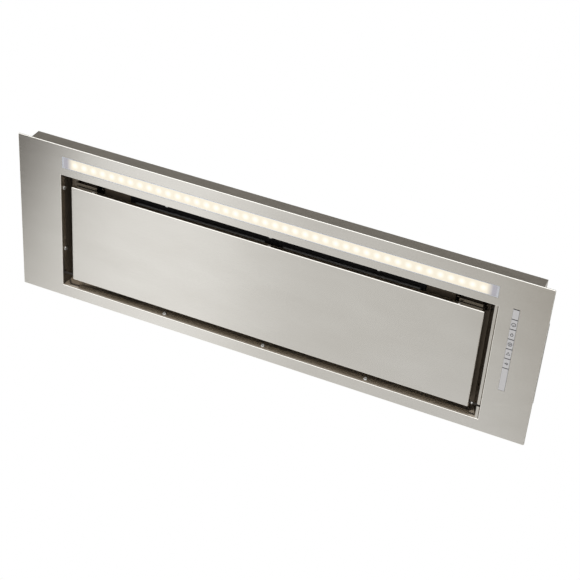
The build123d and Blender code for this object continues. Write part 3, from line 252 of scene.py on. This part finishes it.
def dullMetal(name, finish):
    # rolled, plated or painted metal with a fine speckle
    material, tree, shader = plainMaterial(name, metallic=finish.get("metallic", 1.0))
    pattern = objectPattern(tree, finish.get("stretch", (1, 1, 1)))
    detail, roughness = texture["fineDetail"], texture["speckRoughness"]
    speck = noise(tree, pattern, finish["scale"], detail, roughness)
    speckle(tree, shader, speck, finish)
    return material


def moulded(name, finish):
    # plastic, rubber or foam with a fine grain
    material, tree, shader = plainMaterial(name)
    pattern = objectPattern(tree, (1, 1, 1))
    grain = noise(tree, pattern, finish["scale"], roughness=texture["speckRoughness"])
    speckle(tree, shader, grain, finish)
    return material


faceSteel = {
    "dark": (0.606, 0.590, 0.554),
    "light": (0.643, 0.628, 0.592),
    "cloudLow": (0.95, 0.945, 0.94),
    "grainStretch": (0.010, 1.0, 1.0),
    "grainScale": 2300.0,
    "cloudScale": 9.0,
    "roughness": (0.20, 0.25),
    "anisotropy": 0.6,
    "bump": 0.011,
    # painted highlight colour for bends and cut edges, and the slopes of surface it covers
    "bend": (0.96, 0.94, 0.89),
    "bendSlopes": (0.12, 0.985),
}

# the ledge is brushed like the plate; the walls above it are duller, and painted shade darkens the
# walls and, most of all, the ceiling
recessSteel = {
    "dark": (0.590, 0.575, 0.540),
    "light": (0.650, 0.635, 0.600),
    "cloudLow": (0.90, 0.88, 0.85),
    "grainStretch": (0.02, 1.0, 1.0),
    "grainScale": 1400.0,
    "cloudScale": 14.0,
    "roughness": (0.10, 0.15),
    "anisotropy": 0.0,
    "bump": 0.02,
    # painted shade: colour of the walls and ceiling by height, darkest at the ceiling
    "heights": [
        (1.2, (0.50, 0.45, 0.40)),
        (17.5, (0.44, 0.39, 0.33)),
        (18.2, (0.26, 0.215, 0.17)),
        (20.0, (0.26, 0.215, 0.17)),
    ],
    "roughHeights": [(1.2, 0.0), (17.5, 0.02), (18.2, 0.40), (20.0, 0.40)],
    "metalHeights": [(1.2, 0.88), (17.5, 0.85), (18.2, 0.30), (20.0, 0.30)],
    "ledgeFrom": 362.4 * mm,
    "ledgeTop": 1.1 * mm,
    "ledgeRough": 0.12,
    # painted shadow: a thin dark line on the ledge where it meets the plate's edge
    "shadowLineFrom": 367.2 * mm,
    "shadowLineTone": (0.16, 0.13, 0.10),
}

casingSteel = {
    "dark": (0.355, 0.325, 0.280),
    "light": (0.450, 0.415, 0.365),
    "cloudLow": (0.88, 0.88, 0.87),
    "grainStretch": (0.05, 1.0, 1.0),
    "grainScale": 900.0,
    "cloudScale": 12.0,
    "roughness": (0.34, 0.46),
    "anisotropy": 0.3,
    "bump": 0.06,
}

metalFinishes = {
    "bright_steel": {
        "dark": (0.50, 0.50, 0.50),
        "light": (0.64, 0.64, 0.63),
        "scale": 500.0,
        "roughness": (0.14, 0.24),
        "bump": 0.05,
    },
    "rivet_metal": {
        "dark": (0.62, 0.61, 0.59),
        "light": (0.74, 0.73, 0.71),
        "scale": 700.0,
        "roughness": (0.28, 0.40),
        "bump": 0.08,
    },
    "filter_black": {
        "metallic": 0.0,
        "dark": (0.010, 0.010, 0.011),
        "light": (0.022, 0.021, 0.021),
        "scale": 900.0,
        "roughness": (0.34, 0.46),
        "bump": 0.10,
    },
    "filter_mesh": {
        "metallic": 0.6,
        "dark": (0.040, 0.040, 0.041),
        "light": (0.190, 0.186, 0.180),
        "scale": 800.0,
        "roughness": (0.35, 0.50),
        "bump": 0.10,
    },
    "lamp_aluminium": {
        "dark": (0.70, 0.73, 0.80),
        "light": (0.79, 0.82, 0.89),
        "scale": 900.0,
        "stretch": (0.03, 1, 1),
        "roughness": (0.26, 0.36),
        "bump": 0.05,
    },
}

plasticFinishes = {
    "latch_black": {
        "dark": (0.020, 0.020, 0.022),
        "light": (0.034, 0.034, 0.036),
        "scale": 1500.0,
        "roughness": (0.40, 0.52),
        "bump": 0.12,
    },
    "seal_rubber": {
        "dark": (0.020, 0.020, 0.020),
        "light": (0.060, 0.060, 0.060),
        "scale": 1200.0,
        "roughness": (0.80, 0.95),
        "bump": 0.60,
    },
    "lamp_board": {
        "dark": (0.74, 0.75, 0.74),
        "light": (0.82, 0.83, 0.82),
        "scale": 800.0,
        "roughness": (0.35, 0.45),
        "bump": 0.05,
    },
    "light_chip": {
        "dark": (0.88, 0.72, 0.26),
        "light": (0.94, 0.80, 0.36),
        "scale": 1500.0,
        "roughness": (0.15, 0.25),
        "bump": 0.05,
    },
    "white_case": {
        "dark": (0.72, 0.72, 0.71),
        "light": (0.80, 0.80, 0.79),
        "scale": 1400.0,
        "roughness": (0.42, 0.55),
        "bump": 0.12,
    },
    "black_plastic": {
        "dark": (0.022, 0.022, 0.024),
        "light": (0.038, 0.038, 0.041),
        "scale": 1500.0,
        "roughness": (0.42, 0.55),
        "bump": 0.12,
    },
    "circuit_board": {
        "dark": (0.015, 0.115, 0.045),
        "light": (0.025, 0.165, 0.065),
        "scale": 400.0,
        "roughness": (0.25, 0.38),
        "bump": 0.05,
    },
    "key_cap": {
        "dark": (0.770, 0.765, 0.790),
        "light": (0.830, 0.825, 0.845),
        "scale": 900.0,
        "roughness": (0.25, 0.34),
        "bump": 0.03,
    },
    "name_strip": {
        "dark": (0.770, 0.765, 0.790),
        "light": (0.830, 0.825, 0.845),
        "scale": 900.0,
        "roughness": (0.25, 0.34),
        "bump": 0.03,
    },
    "grey_plastic": {
        "dark": (0.165, 0.170, 0.178),
        "light": (0.215, 0.221, 0.230),
        "scale": 1400.0,
        "roughness": (0.45, 0.58),
        "bump": 0.14,
    },
    "plunger_plastic": {
        "dark": (0.48, 0.45, 0.39),
        "light": (0.56, 0.53, 0.46),
        "scale": 900.0,
        "roughness": (0.35, 0.45),
        "bump": 0.05,
    },
    "cable_sheath": {
        "dark": (0.56, 0.56, 0.54),
        "light": (0.66, 0.66, 0.64),
        "scale": 700.0,
        "roughness": (0.40, 0.52),
        "bump": 0.08,
    },
    "mark_ink": {
        "dark": (0.050, 0.048, 0.060),
        "light": (0.080, 0.078, 0.094),
        "scale": 2500.0,
        "roughness": (0.45, 0.55),
        "bump": 0.03,
    },
}

# the lit cover: a row of soft points under opal plastic, dark at both ends where no chip lies
glow = {
    "pitch": 16.667 * mm,
    "spotSize": 7.4 * mm,
    "litReach": 356.0 * mm,
    "fade": 9.0 * mm,
    "haze": (0.76, 0.69, 0.55),
    "spot": (0.98, 0.96, 0.88),
    "falloff": 1.3,
    "litBase": (0.26, 0.255, 0.24),
    "deadEnd": (0.66, 0.65, 0.73),
    "deadEndLight": (0.6864, 0.676, 0.7592),
    "grainScale": 600.0,
    "roughness": (0.22, 0.30),
}


def opalCover(name, finish):
    material, tree, shader = plainMaterial(name)
    place = axes(tree)
    halfPitch = finish["pitch"] / 2  # the middle of the row falls between two chips
    wrapped = calculate(tree, "PINGPONG", place["X"], halfPitch)
    along = calculate(tree, "SUBTRACT", halfPitch, wrapped)
    front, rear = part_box("lamp_diffuser")
    across = calculate(tree, "SUBTRACT", place["Y"], (front.y + rear.y) / 2)
    alongSquared = calculate(tree, "POWER", along, 2.0)
    acrossSquared = calculate(tree, "POWER", calculate(tree, "ABSOLUTE", across), 2.0)
    away = calculate(tree, "SQRT", calculate(tree, "ADD", alongSquared, acrossSquared))
    spot = spread(tree, away, 0.0, finish["spotSize"], 1.0, 0.0)
    soft = calculate(tree, "POWER", spot, finish["falloff"])
    fromMiddle = calculate(tree, "ABSOLUTE", place["X"])
    fadeFrom = finish["litReach"] - finish["fade"]
    lit = spread(tree, fromMiddle, fadeFrom, finish["litReach"], 1.0, 0.0)
    light = mixed(tree, soft, finish["haze"], finish["spot"])
    grain = noise(tree, objectPattern(tree, (1, 1, 1)), finish["grainScale"])
    low, high = texture["low"], texture["high"]
    unlit = ramp(tree, grain, low, high, finish["deadEnd"], finish["deadEndLight"])
    roughness = spread(tree, grain, low, high, *finish["roughness"])
    tree.links.new(light, shader.inputs["Emission Color"])
    tree.links.new(lit, shader.inputs["Emission Strength"])
    tree.links.new(mixed(tree, lit, unlit, finish["litBase"]), shader.inputs["Base Color"])
    tree.links.new(roughness, shader.inputs["Roughness"])
    return material


# rolled steel of the catch brackets and body rivets, darkened to brown as painted shade of the
# recess
bracketShadeSteel = {
    "dark": (0.100, 0.086, 0.070),
    "light": (0.150, 0.130, 0.105),
    "scale": 600.0,
    "stretch": (0.05, 1, 1),
    "roughness": (0.22, 0.32),
    "bump": 0.06,
}

# painted shade: the keys' and strips' sides are darkened, so the gaps between them read as thin
# shadow lines
keyShadeSides = {
    "faceDepth": 0.5 * mm,  # how much of a side keeps the face's colour
    "dark": (0.060, 0.055, 0.080),
}


def shadedSides(node, name, finish, sides):
    # moulded plastic in its own colour at the visible face, with painted shade on the sides above
    # it
    material = moulded(name, finish)
    tree = material.node_tree
    shader = tree.nodes["Principled BSDF"]
    face = shader.inputs["Base Color"].links[0].from_socket
    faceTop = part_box(node)[0].z + sides["faceDepth"]
    above = calculate(tree, "GREATER_THAN", axes(tree)["Z"], faceTop)
    tree.links.new(mixed(tree, above, face, sides["dark"]), shader.inputs["Base Color"])
    return material


# painted shade darkens the pins; the shoulder keeps the colour of bright steel
shadedPinSteel = {
    "dark": (0.035, 0.032, 0.030),
    "light": (0.0525, 0.048, 0.045),
    "scale": 900.0,
    "roughness": (0.22, 0.34),
    "bright": (0.60, 0.60, 0.59),
    "shoulder": (353.2 * mm, 355.2 * mm),
}


def shadedPinFinish(name, finish):
    # painted shade: the pins are darkened to near black as they lie in the shade of the recess; the
    # right-hand one has a bright steel shoulder
    material, tree, shader = plainMaterial(name, metallic=1.0)
    along = axes(tree)["X"]
    inner = calculate(tree, "GREATER_THAN", along, finish["shoulder"][0])
    outer = calculate(tree, "LESS_THAN", along, finish["shoulder"][1])
    shoulder = calculate(tree, "MULTIPLY", inner, outer)
    speck = noise(tree, objectPattern(tree, (1, 1, 1)), finish["scale"])
    low, high = texture["low"], texture["high"]
    black = ramp(tree, speck, low, high, finish["dark"], finish["light"])
    roughness = spread(tree, speck, low, high, *finish["roughness"])
    tree.links.new(mixed(tree, shoulder, black, finish["bright"]), shader.inputs["Base Color"])
    tree.links.new(roughness, shader.inputs["Roughness"])
    return material


materials = {
    "brushed_face": brushedSteel("brushed_face", faceSteel),
    "recess_steel": brushedSteel("recess_steel", recessSteel),
    "casing_steel": brushedSteel("casing_steel", casingSteel),
    "opal_cover": opalCover("opal_cover", glow),
}
for slotName, finish in metalFinishes.items():
    materials[slotName] = dullMetal(slotName, finish)
for slotName, finish in plasticFinishes.items():
    materials[slotName] = moulded(slotName, finish)

for part in frame["record"]["subparts"]:
    piece = nodes[part["node"]]
    piece.data.materials.clear()
    piece.data.materials.append(materials[part["material_slot"]])
# the hinge pins get their painted shade
nodes["hinge_pins"].data.materials[0] = shadedPinFinish("pin_steel_painted_shade", shadedPinSteel)
# the keys and strips get painted shade on their sides
shadedKeyPlastic = shadedSides("control_key_1", "key_plastic_shaded_sides", plasticFinishes["key_cap"], keyShadeSides)
keyNodes = [f"control_key_{number}" for number in range(1, 6)]
for node in ("control_blank_cap", "control_name_strip", *keyNodes):
    nodes[node].data.materials[0] = shadedKeyPlastic
# painted shade: the catch brackets and body rivets are darkened
shadedBracketSteel = dullMetal("bracket_steel_painted_shade", bracketShadeSteel)
for node in ("catch_brackets", "body_rivets"):
    nodes[node].data.materials[0] = shadedBracketSteel
print("materials set on", len(nodes), "nodes")


def finishPiece(bm, name, body, slotName, materialName=None):
    # one finished mesh object, at the origin, riding on its body
    bmesh.ops.recalc_face_normals(bm, faces=bm.faces)
    mesh = bpy.data.meshes.new(name)
    bm.to_mesh(mesh)
    bm.free()
    piece = bpy.data.objects.new(name, mesh)
    bpy.context.scene.collection.objects.link(piece)
    mesh.materials.append(materials[materialName or slotName])
    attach(piece, body)
    return piece


# marks printed on the keys, listed from the front of the strip to the rear; each size is a share
# of the ring's radius and the rest is in millimetres
marks = {
    "ink": 0.03,
    "line": 0.95,
    "ring": 3.5,
    "ringSides": 32,
    "dotSides": 16,
    "order": ["clock", "bulb", "fan", "triangle", "power"],
    "clock": {"longHand": 1.7, "shortHand": 1.2},
    "bulb": {"rise": 0.7, "size": 0.72, "bars": [(1.5, 0.8), (2.4, 0.6)]},
    "fan": {"blades": 3, "size": 0.62},
    "triangle": {"size": 1.12, "line": 0.76},
    "power": {
        "dotPlace": 1.5,
        "dotSize": 0.26,
        "ringPlace": 0.9,
        "ringSize": 0.55,
        "barFrom": 0.7,
        "barTo": 2.3,
    },
}


def extrudeDown(bm, faces, depth):
    made = bmesh.ops.extrude_face_region(bm, geom=faces)
    moved = [v for v in made["geom"] if isinstance(v, bmesh.types.BMVert)]
    bmesh.ops.translate(bm, vec=(0, 0, -depth), verts=moved)


def addDisc(bm, centre, radius, sides, turn=0.0):
    made = bmesh.ops.create_circle(bm, cap_ends=True, radius=radius, segments=sides)
    spin = Matrix.Rotation(math.radians(turn), 3, "Z")
    bmesh.ops.rotate(bm, cent=(0, 0, 0), matrix=spin, verts=made["verts"])
    bmesh.ops.translate(bm, vec=centre, verts=made["verts"])
    return made["verts"][0].link_faces[0]


def addRing(bm, centre, radius, line, sides, turn=0.0):
    face = addDisc(bm, centre, radius, sides, turn)
    bmesh.ops.inset_region(
        bm,
        faces=[face],
        thickness=line,
        use_boundary=True,
        use_even_offset=True,
    )
    bmesh.ops.delete(bm, geom=[face], context="FACES_ONLY")


def addBar(bm, start, end, width):
    # a flat bar between two points in the plane
    run = end - start
    made = bmesh.ops.create_grid(bm, x_segments=1, y_segments=1, size=0.5)  # one by one
    bmesh.ops.scale(bm, vec=(run.length, width, 1), verts=made["verts"])
    turn = Matrix.Rotation(math.atan2(run.y, run.x), 3, "Z")
    bmesh.ops.rotate(bm, cent=(0, 0, 0), matrix=turn, verts=made["verts"])
    bmesh.ops.translate(bm, vec=(start + end) / 2, verts=made["verts"])


def drawMark(bm, kind, at):
    line = marks["line"] * mm
    ring = marks["ring"] * mm
    ringSides = marks["ringSides"]
    step = Vector((1, 0, 0)) * mm
    rise = Vector((0, 1, 0)) * mm
    mark = marks[kind]
    if kind == "clock":
        addRing(bm, at, ring, line, ringSides)
        addBar(bm, at, at + rise * mark["longHand"], line)
        addBar(bm, at, at + step * mark["shortHand"], line)
    elif kind == "bulb":
        addRing(bm, at + rise * mark["rise"], ring * mark["size"], line, ringSides)
        for drop, half in mark["bars"]:
            addBar(bm, at - rise * drop - step * half, at - rise * drop + step * half, line)
    elif kind == "fan":
        for blade in range(mark["blades"]):
            angle = math.radians(360 / mark["blades"] * blade + 90)
            out = Vector((math.cos(angle), math.sin(angle), 0))
            addBar(bm, at, at + out * ring * mark["size"], line)
        addRing(bm, at, ring, line, ringSides)
    elif kind == "triangle":
        addRing(bm, at, ring * mark["size"], mark["line"] * mm, sides=3, turn=180)
    else:
        middle = at + step * mark["ringPlace"]
        addDisc(bm, at - step * mark["dotPlace"], ring * mark["dotSize"], marks["dotSides"])
        addRing(bm, middle, ring * mark["ringSize"], line, ringSides)
        addBar(bm, middle + rise * mark["barFrom"], middle + rise * mark["barTo"], line)


for number, kind in enumerate(marks["order"], 1):
    low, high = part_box(f"control_key_{number}")
    top = low.z + marks["ink"] * mm
    bm = bmesh.new()
    drawMark(bm, kind, Vector(((low.x + high.x) / 2, (low.y + high.y) / 2, top)))
    extrudeDown(bm, bm.faces[:], 2 * marks["ink"] * mm)  # half of it lies in the key
    finishPiece(bm, f"key_mark_{number}", f"key_{number}", "key_cap", "mark_ink")
print("key marks printed")


# expanded mesh of the grease filter, in millimetres
filterWeave = {
    "diamondLength": 6.6,
    "diamondWidth": 3.9,
    "strand": 0.8,
    "spareCells": 4,  # cut away again at the window's edge
}


def expandedMesh(node):
    # a flat diamond lattice cut to the filter's window
    low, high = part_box(node)
    span = high - low
    length = filterWeave["diamondLength"] * mm
    width = filterWeave["diamondWidth"] * mm
    bm = bmesh.new()
    cells = int(span.x / length + span.y / width) + filterWeave["spareCells"]
    bmesh.ops.create_grid(bm, x_segments=cells, y_segments=cells, size=cells / 2)
    turn = Matrix.Rotation(math.radians(45), 3, "Z")
    bmesh.ops.rotate(bm, cent=(0, 0, 0), matrix=turn, verts=bm.verts)
    shrink = 1 / math.sqrt(2)  # each turned cell is a diamond sqrt(2) across
    bmesh.ops.scale(bm, vec=(length * shrink, width * shrink, 1), verts=bm.verts)
    centre = (low + high) / 2
    bmesh.ops.translate(bm, vec=(centre.x, centre.y, 0), verts=bm.verts)
    for point, direction in (
        (low, (1, 0, 0)),
        (low, (0, 1, 0)),
        (high, (-1, 0, 0)),
        (high, (0, -1, 0)),
    ):
        bmesh.ops.bisect_plane(
            bm,
            geom=bm.verts[:] + bm.edges[:] + bm.faces[:],
            plane_co=point,
            plane_no=direction,
            clear_inner=True,
        )
    bmesh.ops.translate(bm, vec=(0, 0, centre.z), verts=bm.verts)
    bmesh.ops.wireframe(
        bm,
        faces=bm.faces[:],
        thickness=filterWeave["strand"] * mm / 2,
        use_replace=True,
        use_boundary=True,
        use_even_offset=True,
    )
    return bm


for node in ("filter_mesh_lower", "filter_mesh_upper"):
    piece = finishPiece(expandedMesh(node), f"{node}_weave", "hood", "filter_mesh")
    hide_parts(node)
    print(node, "woven with", len(piece.data.polygons), "faces")


# the latch's coil spring, wire and travel in millimetres
latchSpring = {
    "turns": 5,
    "wire": 0.5,
    "wireSides": 8,
    "stepsPerTurn": 20,
    "travel": 6.0,
}


def coilSpring(node):
    low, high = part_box(node)
    middle = (low + high) / 2
    wire = latchSpring["wire"] * mm
    radius = (high.x - low.x - wire) / 2
    turns = latchSpring["turns"]
    steps = turns * latchSpring["stepsPerTurn"]
    bm = bmesh.new()
    bmesh.ops.create_circle(bm, radius=wire / 2, segments=latchSpring["wireSides"])
    bmesh.ops.translate(bm, vec=(middle.x + radius, low.y + wire / 2, middle.z), verts=bm.verts)
    bmesh.ops.spin(
        bm,
        geom=bm.verts[:] + bm.edges[:],
        cent=middle,
        axis=(0, 1, 0),
        dvec=(0, (high.y - low.y - wire) / steps, 0),
        angle=math.radians(360 * turns),
        steps=steps,
    )
    bmesh.ops.holes_fill(bm, edges=[edge for edge in bm.edges if edge.is_boundary])
    return bm


coil = finishPiece(coilSpring("latch_spring"), "latch_spring_coil", "hood", "bright_steel")
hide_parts("latch_spring")
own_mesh(coil)
print("latch spring wound with", len(coil.data.polygons), "faces")


# soft cards that only the metal sees: centre, size and blurred edge in metres, turn in degrees
cards = {
    "bright_card": {
        "centre": (-1.72, 2.2, -2.90),
        "size": (1.02, 5.0),
        "glow": 1.27,
        "blur": 0.16,
    },
    "left_flag": {
        "centre": (-2.98, 1.62, -2.88),
        "size": (1.82, 3.4),
        "turn": (0, 0, 25),
        "colour": (1.0, 0.74, 0.45),
        "glow": 0.05,
        "blur": 0.18,
    },
    "right_flag": {
        "centre": (0.784, 1.512, -2.85),
        "size": (2.26, 2.96),
        "turn": (0, 0, -25),
        "colour": (1.0, 0.92, 0.80),
        "glow": 0.42,
        "blur": 0.36,
    },
    "rear_card": {
        "centre": (-0.25, 2.62, -2.87),
        "size": (1.0, 1.0),
        "colour": (0.97, 0.98, 1.0),
        "glow": 1.0,
        "blur": 0.35,
    },
    "front_softbox": {
        "centre": (-0.40, -2.40, -1.00),
        "size": (3.4, 3.8),
        "turn": (-67, 0, 0),
        "glow": 1.55,
        "blur": 0.12,
    },
    "side_flag": {
        "centre": (3.2, 1.2, -0.6),
        "size": (4.6, 7.0),
        "turn": (0, 90, 0),
        "colour": (1.0, 0.94, 0.86),
        "glow": 0.16,
        "blur": 0.4,
    },
    "front_flag": {
        "centre": (-1.5, -3.4, 2.3),
        "size": (9.0, 5.0),
        "turn": (60, 0, 0),
        "colour": (1.0, 0.95, 0.87),
        "glow": 0.14,
        "blur": 0.8,
    },
}


def softCard(name, card):
    bm = bmesh.new()
    bmesh.ops.create_grid(bm, x_segments=1, y_segments=1, size=0.5)  # one by one
    bmesh.ops.scale(bm, vec=(*card["size"], 1), verts=bm.verts)
    mesh = bpy.data.meshes.new(name)
    bm.to_mesh(mesh)
    bm.free()
    piece = bpy.data.objects.new(name, mesh)
    piece.location = card["centre"]
    if "turn" in card:
        piece.rotation_euler = [math.radians(a) for a in card["turn"]]
    bpy.context.scene.collection.objects.link(piece)
    material = bpy.data.materials.new(name)
    material.use_nodes = True
    tree = material.node_tree
    tree.nodes.clear()
    place = axes(tree)
    edges = []
    for axis, size in zip("XY", card["size"]):
        reach = calculate(tree, "ABSOLUTE", place[axis])
        edge = spread(tree, reach, size / 2 - card["blur"], size / 2, 1.0, 0.0)
        edge.node.interpolation_type = "SMOOTHSTEP"
        edges.append(edge)
    mask = calculate(tree, "MULTIPLY", edges[0], edges[1])
    light = addNode(tree, "ShaderNodeEmission")
    light.inputs["Color"].default_value = (*card.get("colour", (1, 1, 1)), 1)
    light.inputs["Strength"].default_value = card["glow"]
    clear = addNode(tree, "ShaderNodeBsdfTransparent")
    mix = addNode(tree, "ShaderNodeMixShader")
    out = addNode(tree, "ShaderNodeOutputMaterial")
    tree.links.new(mask, mix.inputs["Fac"])
    tree.links.new(clear.outputs["BSDF"], mix.inputs[1])
    tree.links.new(light.outputs["Emission"], mix.inputs[2])
    tree.links.new(mix.outputs["Shader"], out.inputs["Surface"])
    mesh.materials.append(material)
    piece.visible_camera = False
    piece.visible_diffuse = False
    piece.visible_shadow = False


for cardName, card in cards.items():
    softCard(cardName, card)
print(len(cards), "reflection cards placed")


# light falls on the underside from a pale floor far below, as in a photo studio; heights and
# sizes are in metres
studio = {
    "floorHeight": -3.0,
    "floorSize": 60.0,
    "floorColour": (0.80, 0.79, 0.77),
    "floorRoughness": 0.9,
    "floorSpecular": 0.1,
    "floorGlow": 0.22,
    "skyFill": 0.78,
}


def seenDirectly(tree):
    # camera, mirror and glass rays
    path = addNode(tree, "ShaderNodeLightPath")
    first = calculate(tree, "MAXIMUM", path.outputs["Is Camera Ray"], path.outputs["Is Glossy Ray"])
    return calculate(tree, "MAXIMUM", first, path.outputs["Is Transmission Ray"])


bm = bmesh.new()
bmesh.ops.create_grid(bm, x_segments=1, y_segments=1, size=studio["floorSize"] / 2)
bmesh.ops.translate(bm, vec=(0, 0, studio["floorHeight"]), verts=bm.verts)
floorMesh = bpy.data.meshes.new("floor")
bm.to_mesh(floorMesh)
bm.free()
floor = bpy.data.objects.new("floor", floorMesh)
bpy.context.scene.collection.objects.link(floor)
floorSpecular = studio["floorSpecular"]
floorMaterial, floorTree, floorShader = plainMaterial("pale_floor", specular=floorSpecular)
floorShader.inputs["Roughness"].default_value = studio["floorRoughness"]
floorShader.inputs["Base Color"].default_value = (*studio["floorColour"], 1)
floorShader.inputs["Emission Color"].default_value = (1, 1, 1, 1)
floorGlow = calculate(floorTree, "MULTIPLY", seenDirectly(floorTree), studio["floorGlow"])
floorTree.links.new(floorGlow, floorShader.inputs["Emission Strength"])
floorMesh.materials.append(floorMaterial)

world = bpy.data.worlds.new("studio")
world.use_nodes = True
bpy.context.scene.world = world
worldTree = world.node_tree
background = worldTree.nodes["Background"]
background.inputs["Color"].default_value = (1, 1, 1, 1)
worldLevel = spread(worldTree, seenDirectly(worldTree), 0.0, 1.0, studio["skyFill"], 1.0)
worldTree.links.new(worldLevel, background.inputs["Strength"])

# place in metres, turn in degrees, lens and sensor in millimetres
camera = {
    "place": (0.7168, -1.3293, -1.7609),
    "turn": (146.585, -23.718, -4.308),
    "lens": 91.74,
    "sensor": 36.0,
    "clip": (0.05, 200.0),
}

cameraData = bpy.data.cameras.new("camera")
cameraData.lens = camera["lens"]
cameraData.sensor_width = camera["sensor"]
cameraData.clip_start, cameraData.clip_end = camera["clip"]
cameraPiece = bpy.data.objects.new("camera", cameraData)
cameraPiece.location = camera["place"]
cameraPiece.rotation_euler = [math.radians(a) for a in camera["turn"]]
bpy.context.scene.collection.objects.link(cameraPiece)
bpy.context.scene.camera = cameraPiece
bpy.context.scene.view_settings.view_transform = "Standard"
print("studio and camera set")
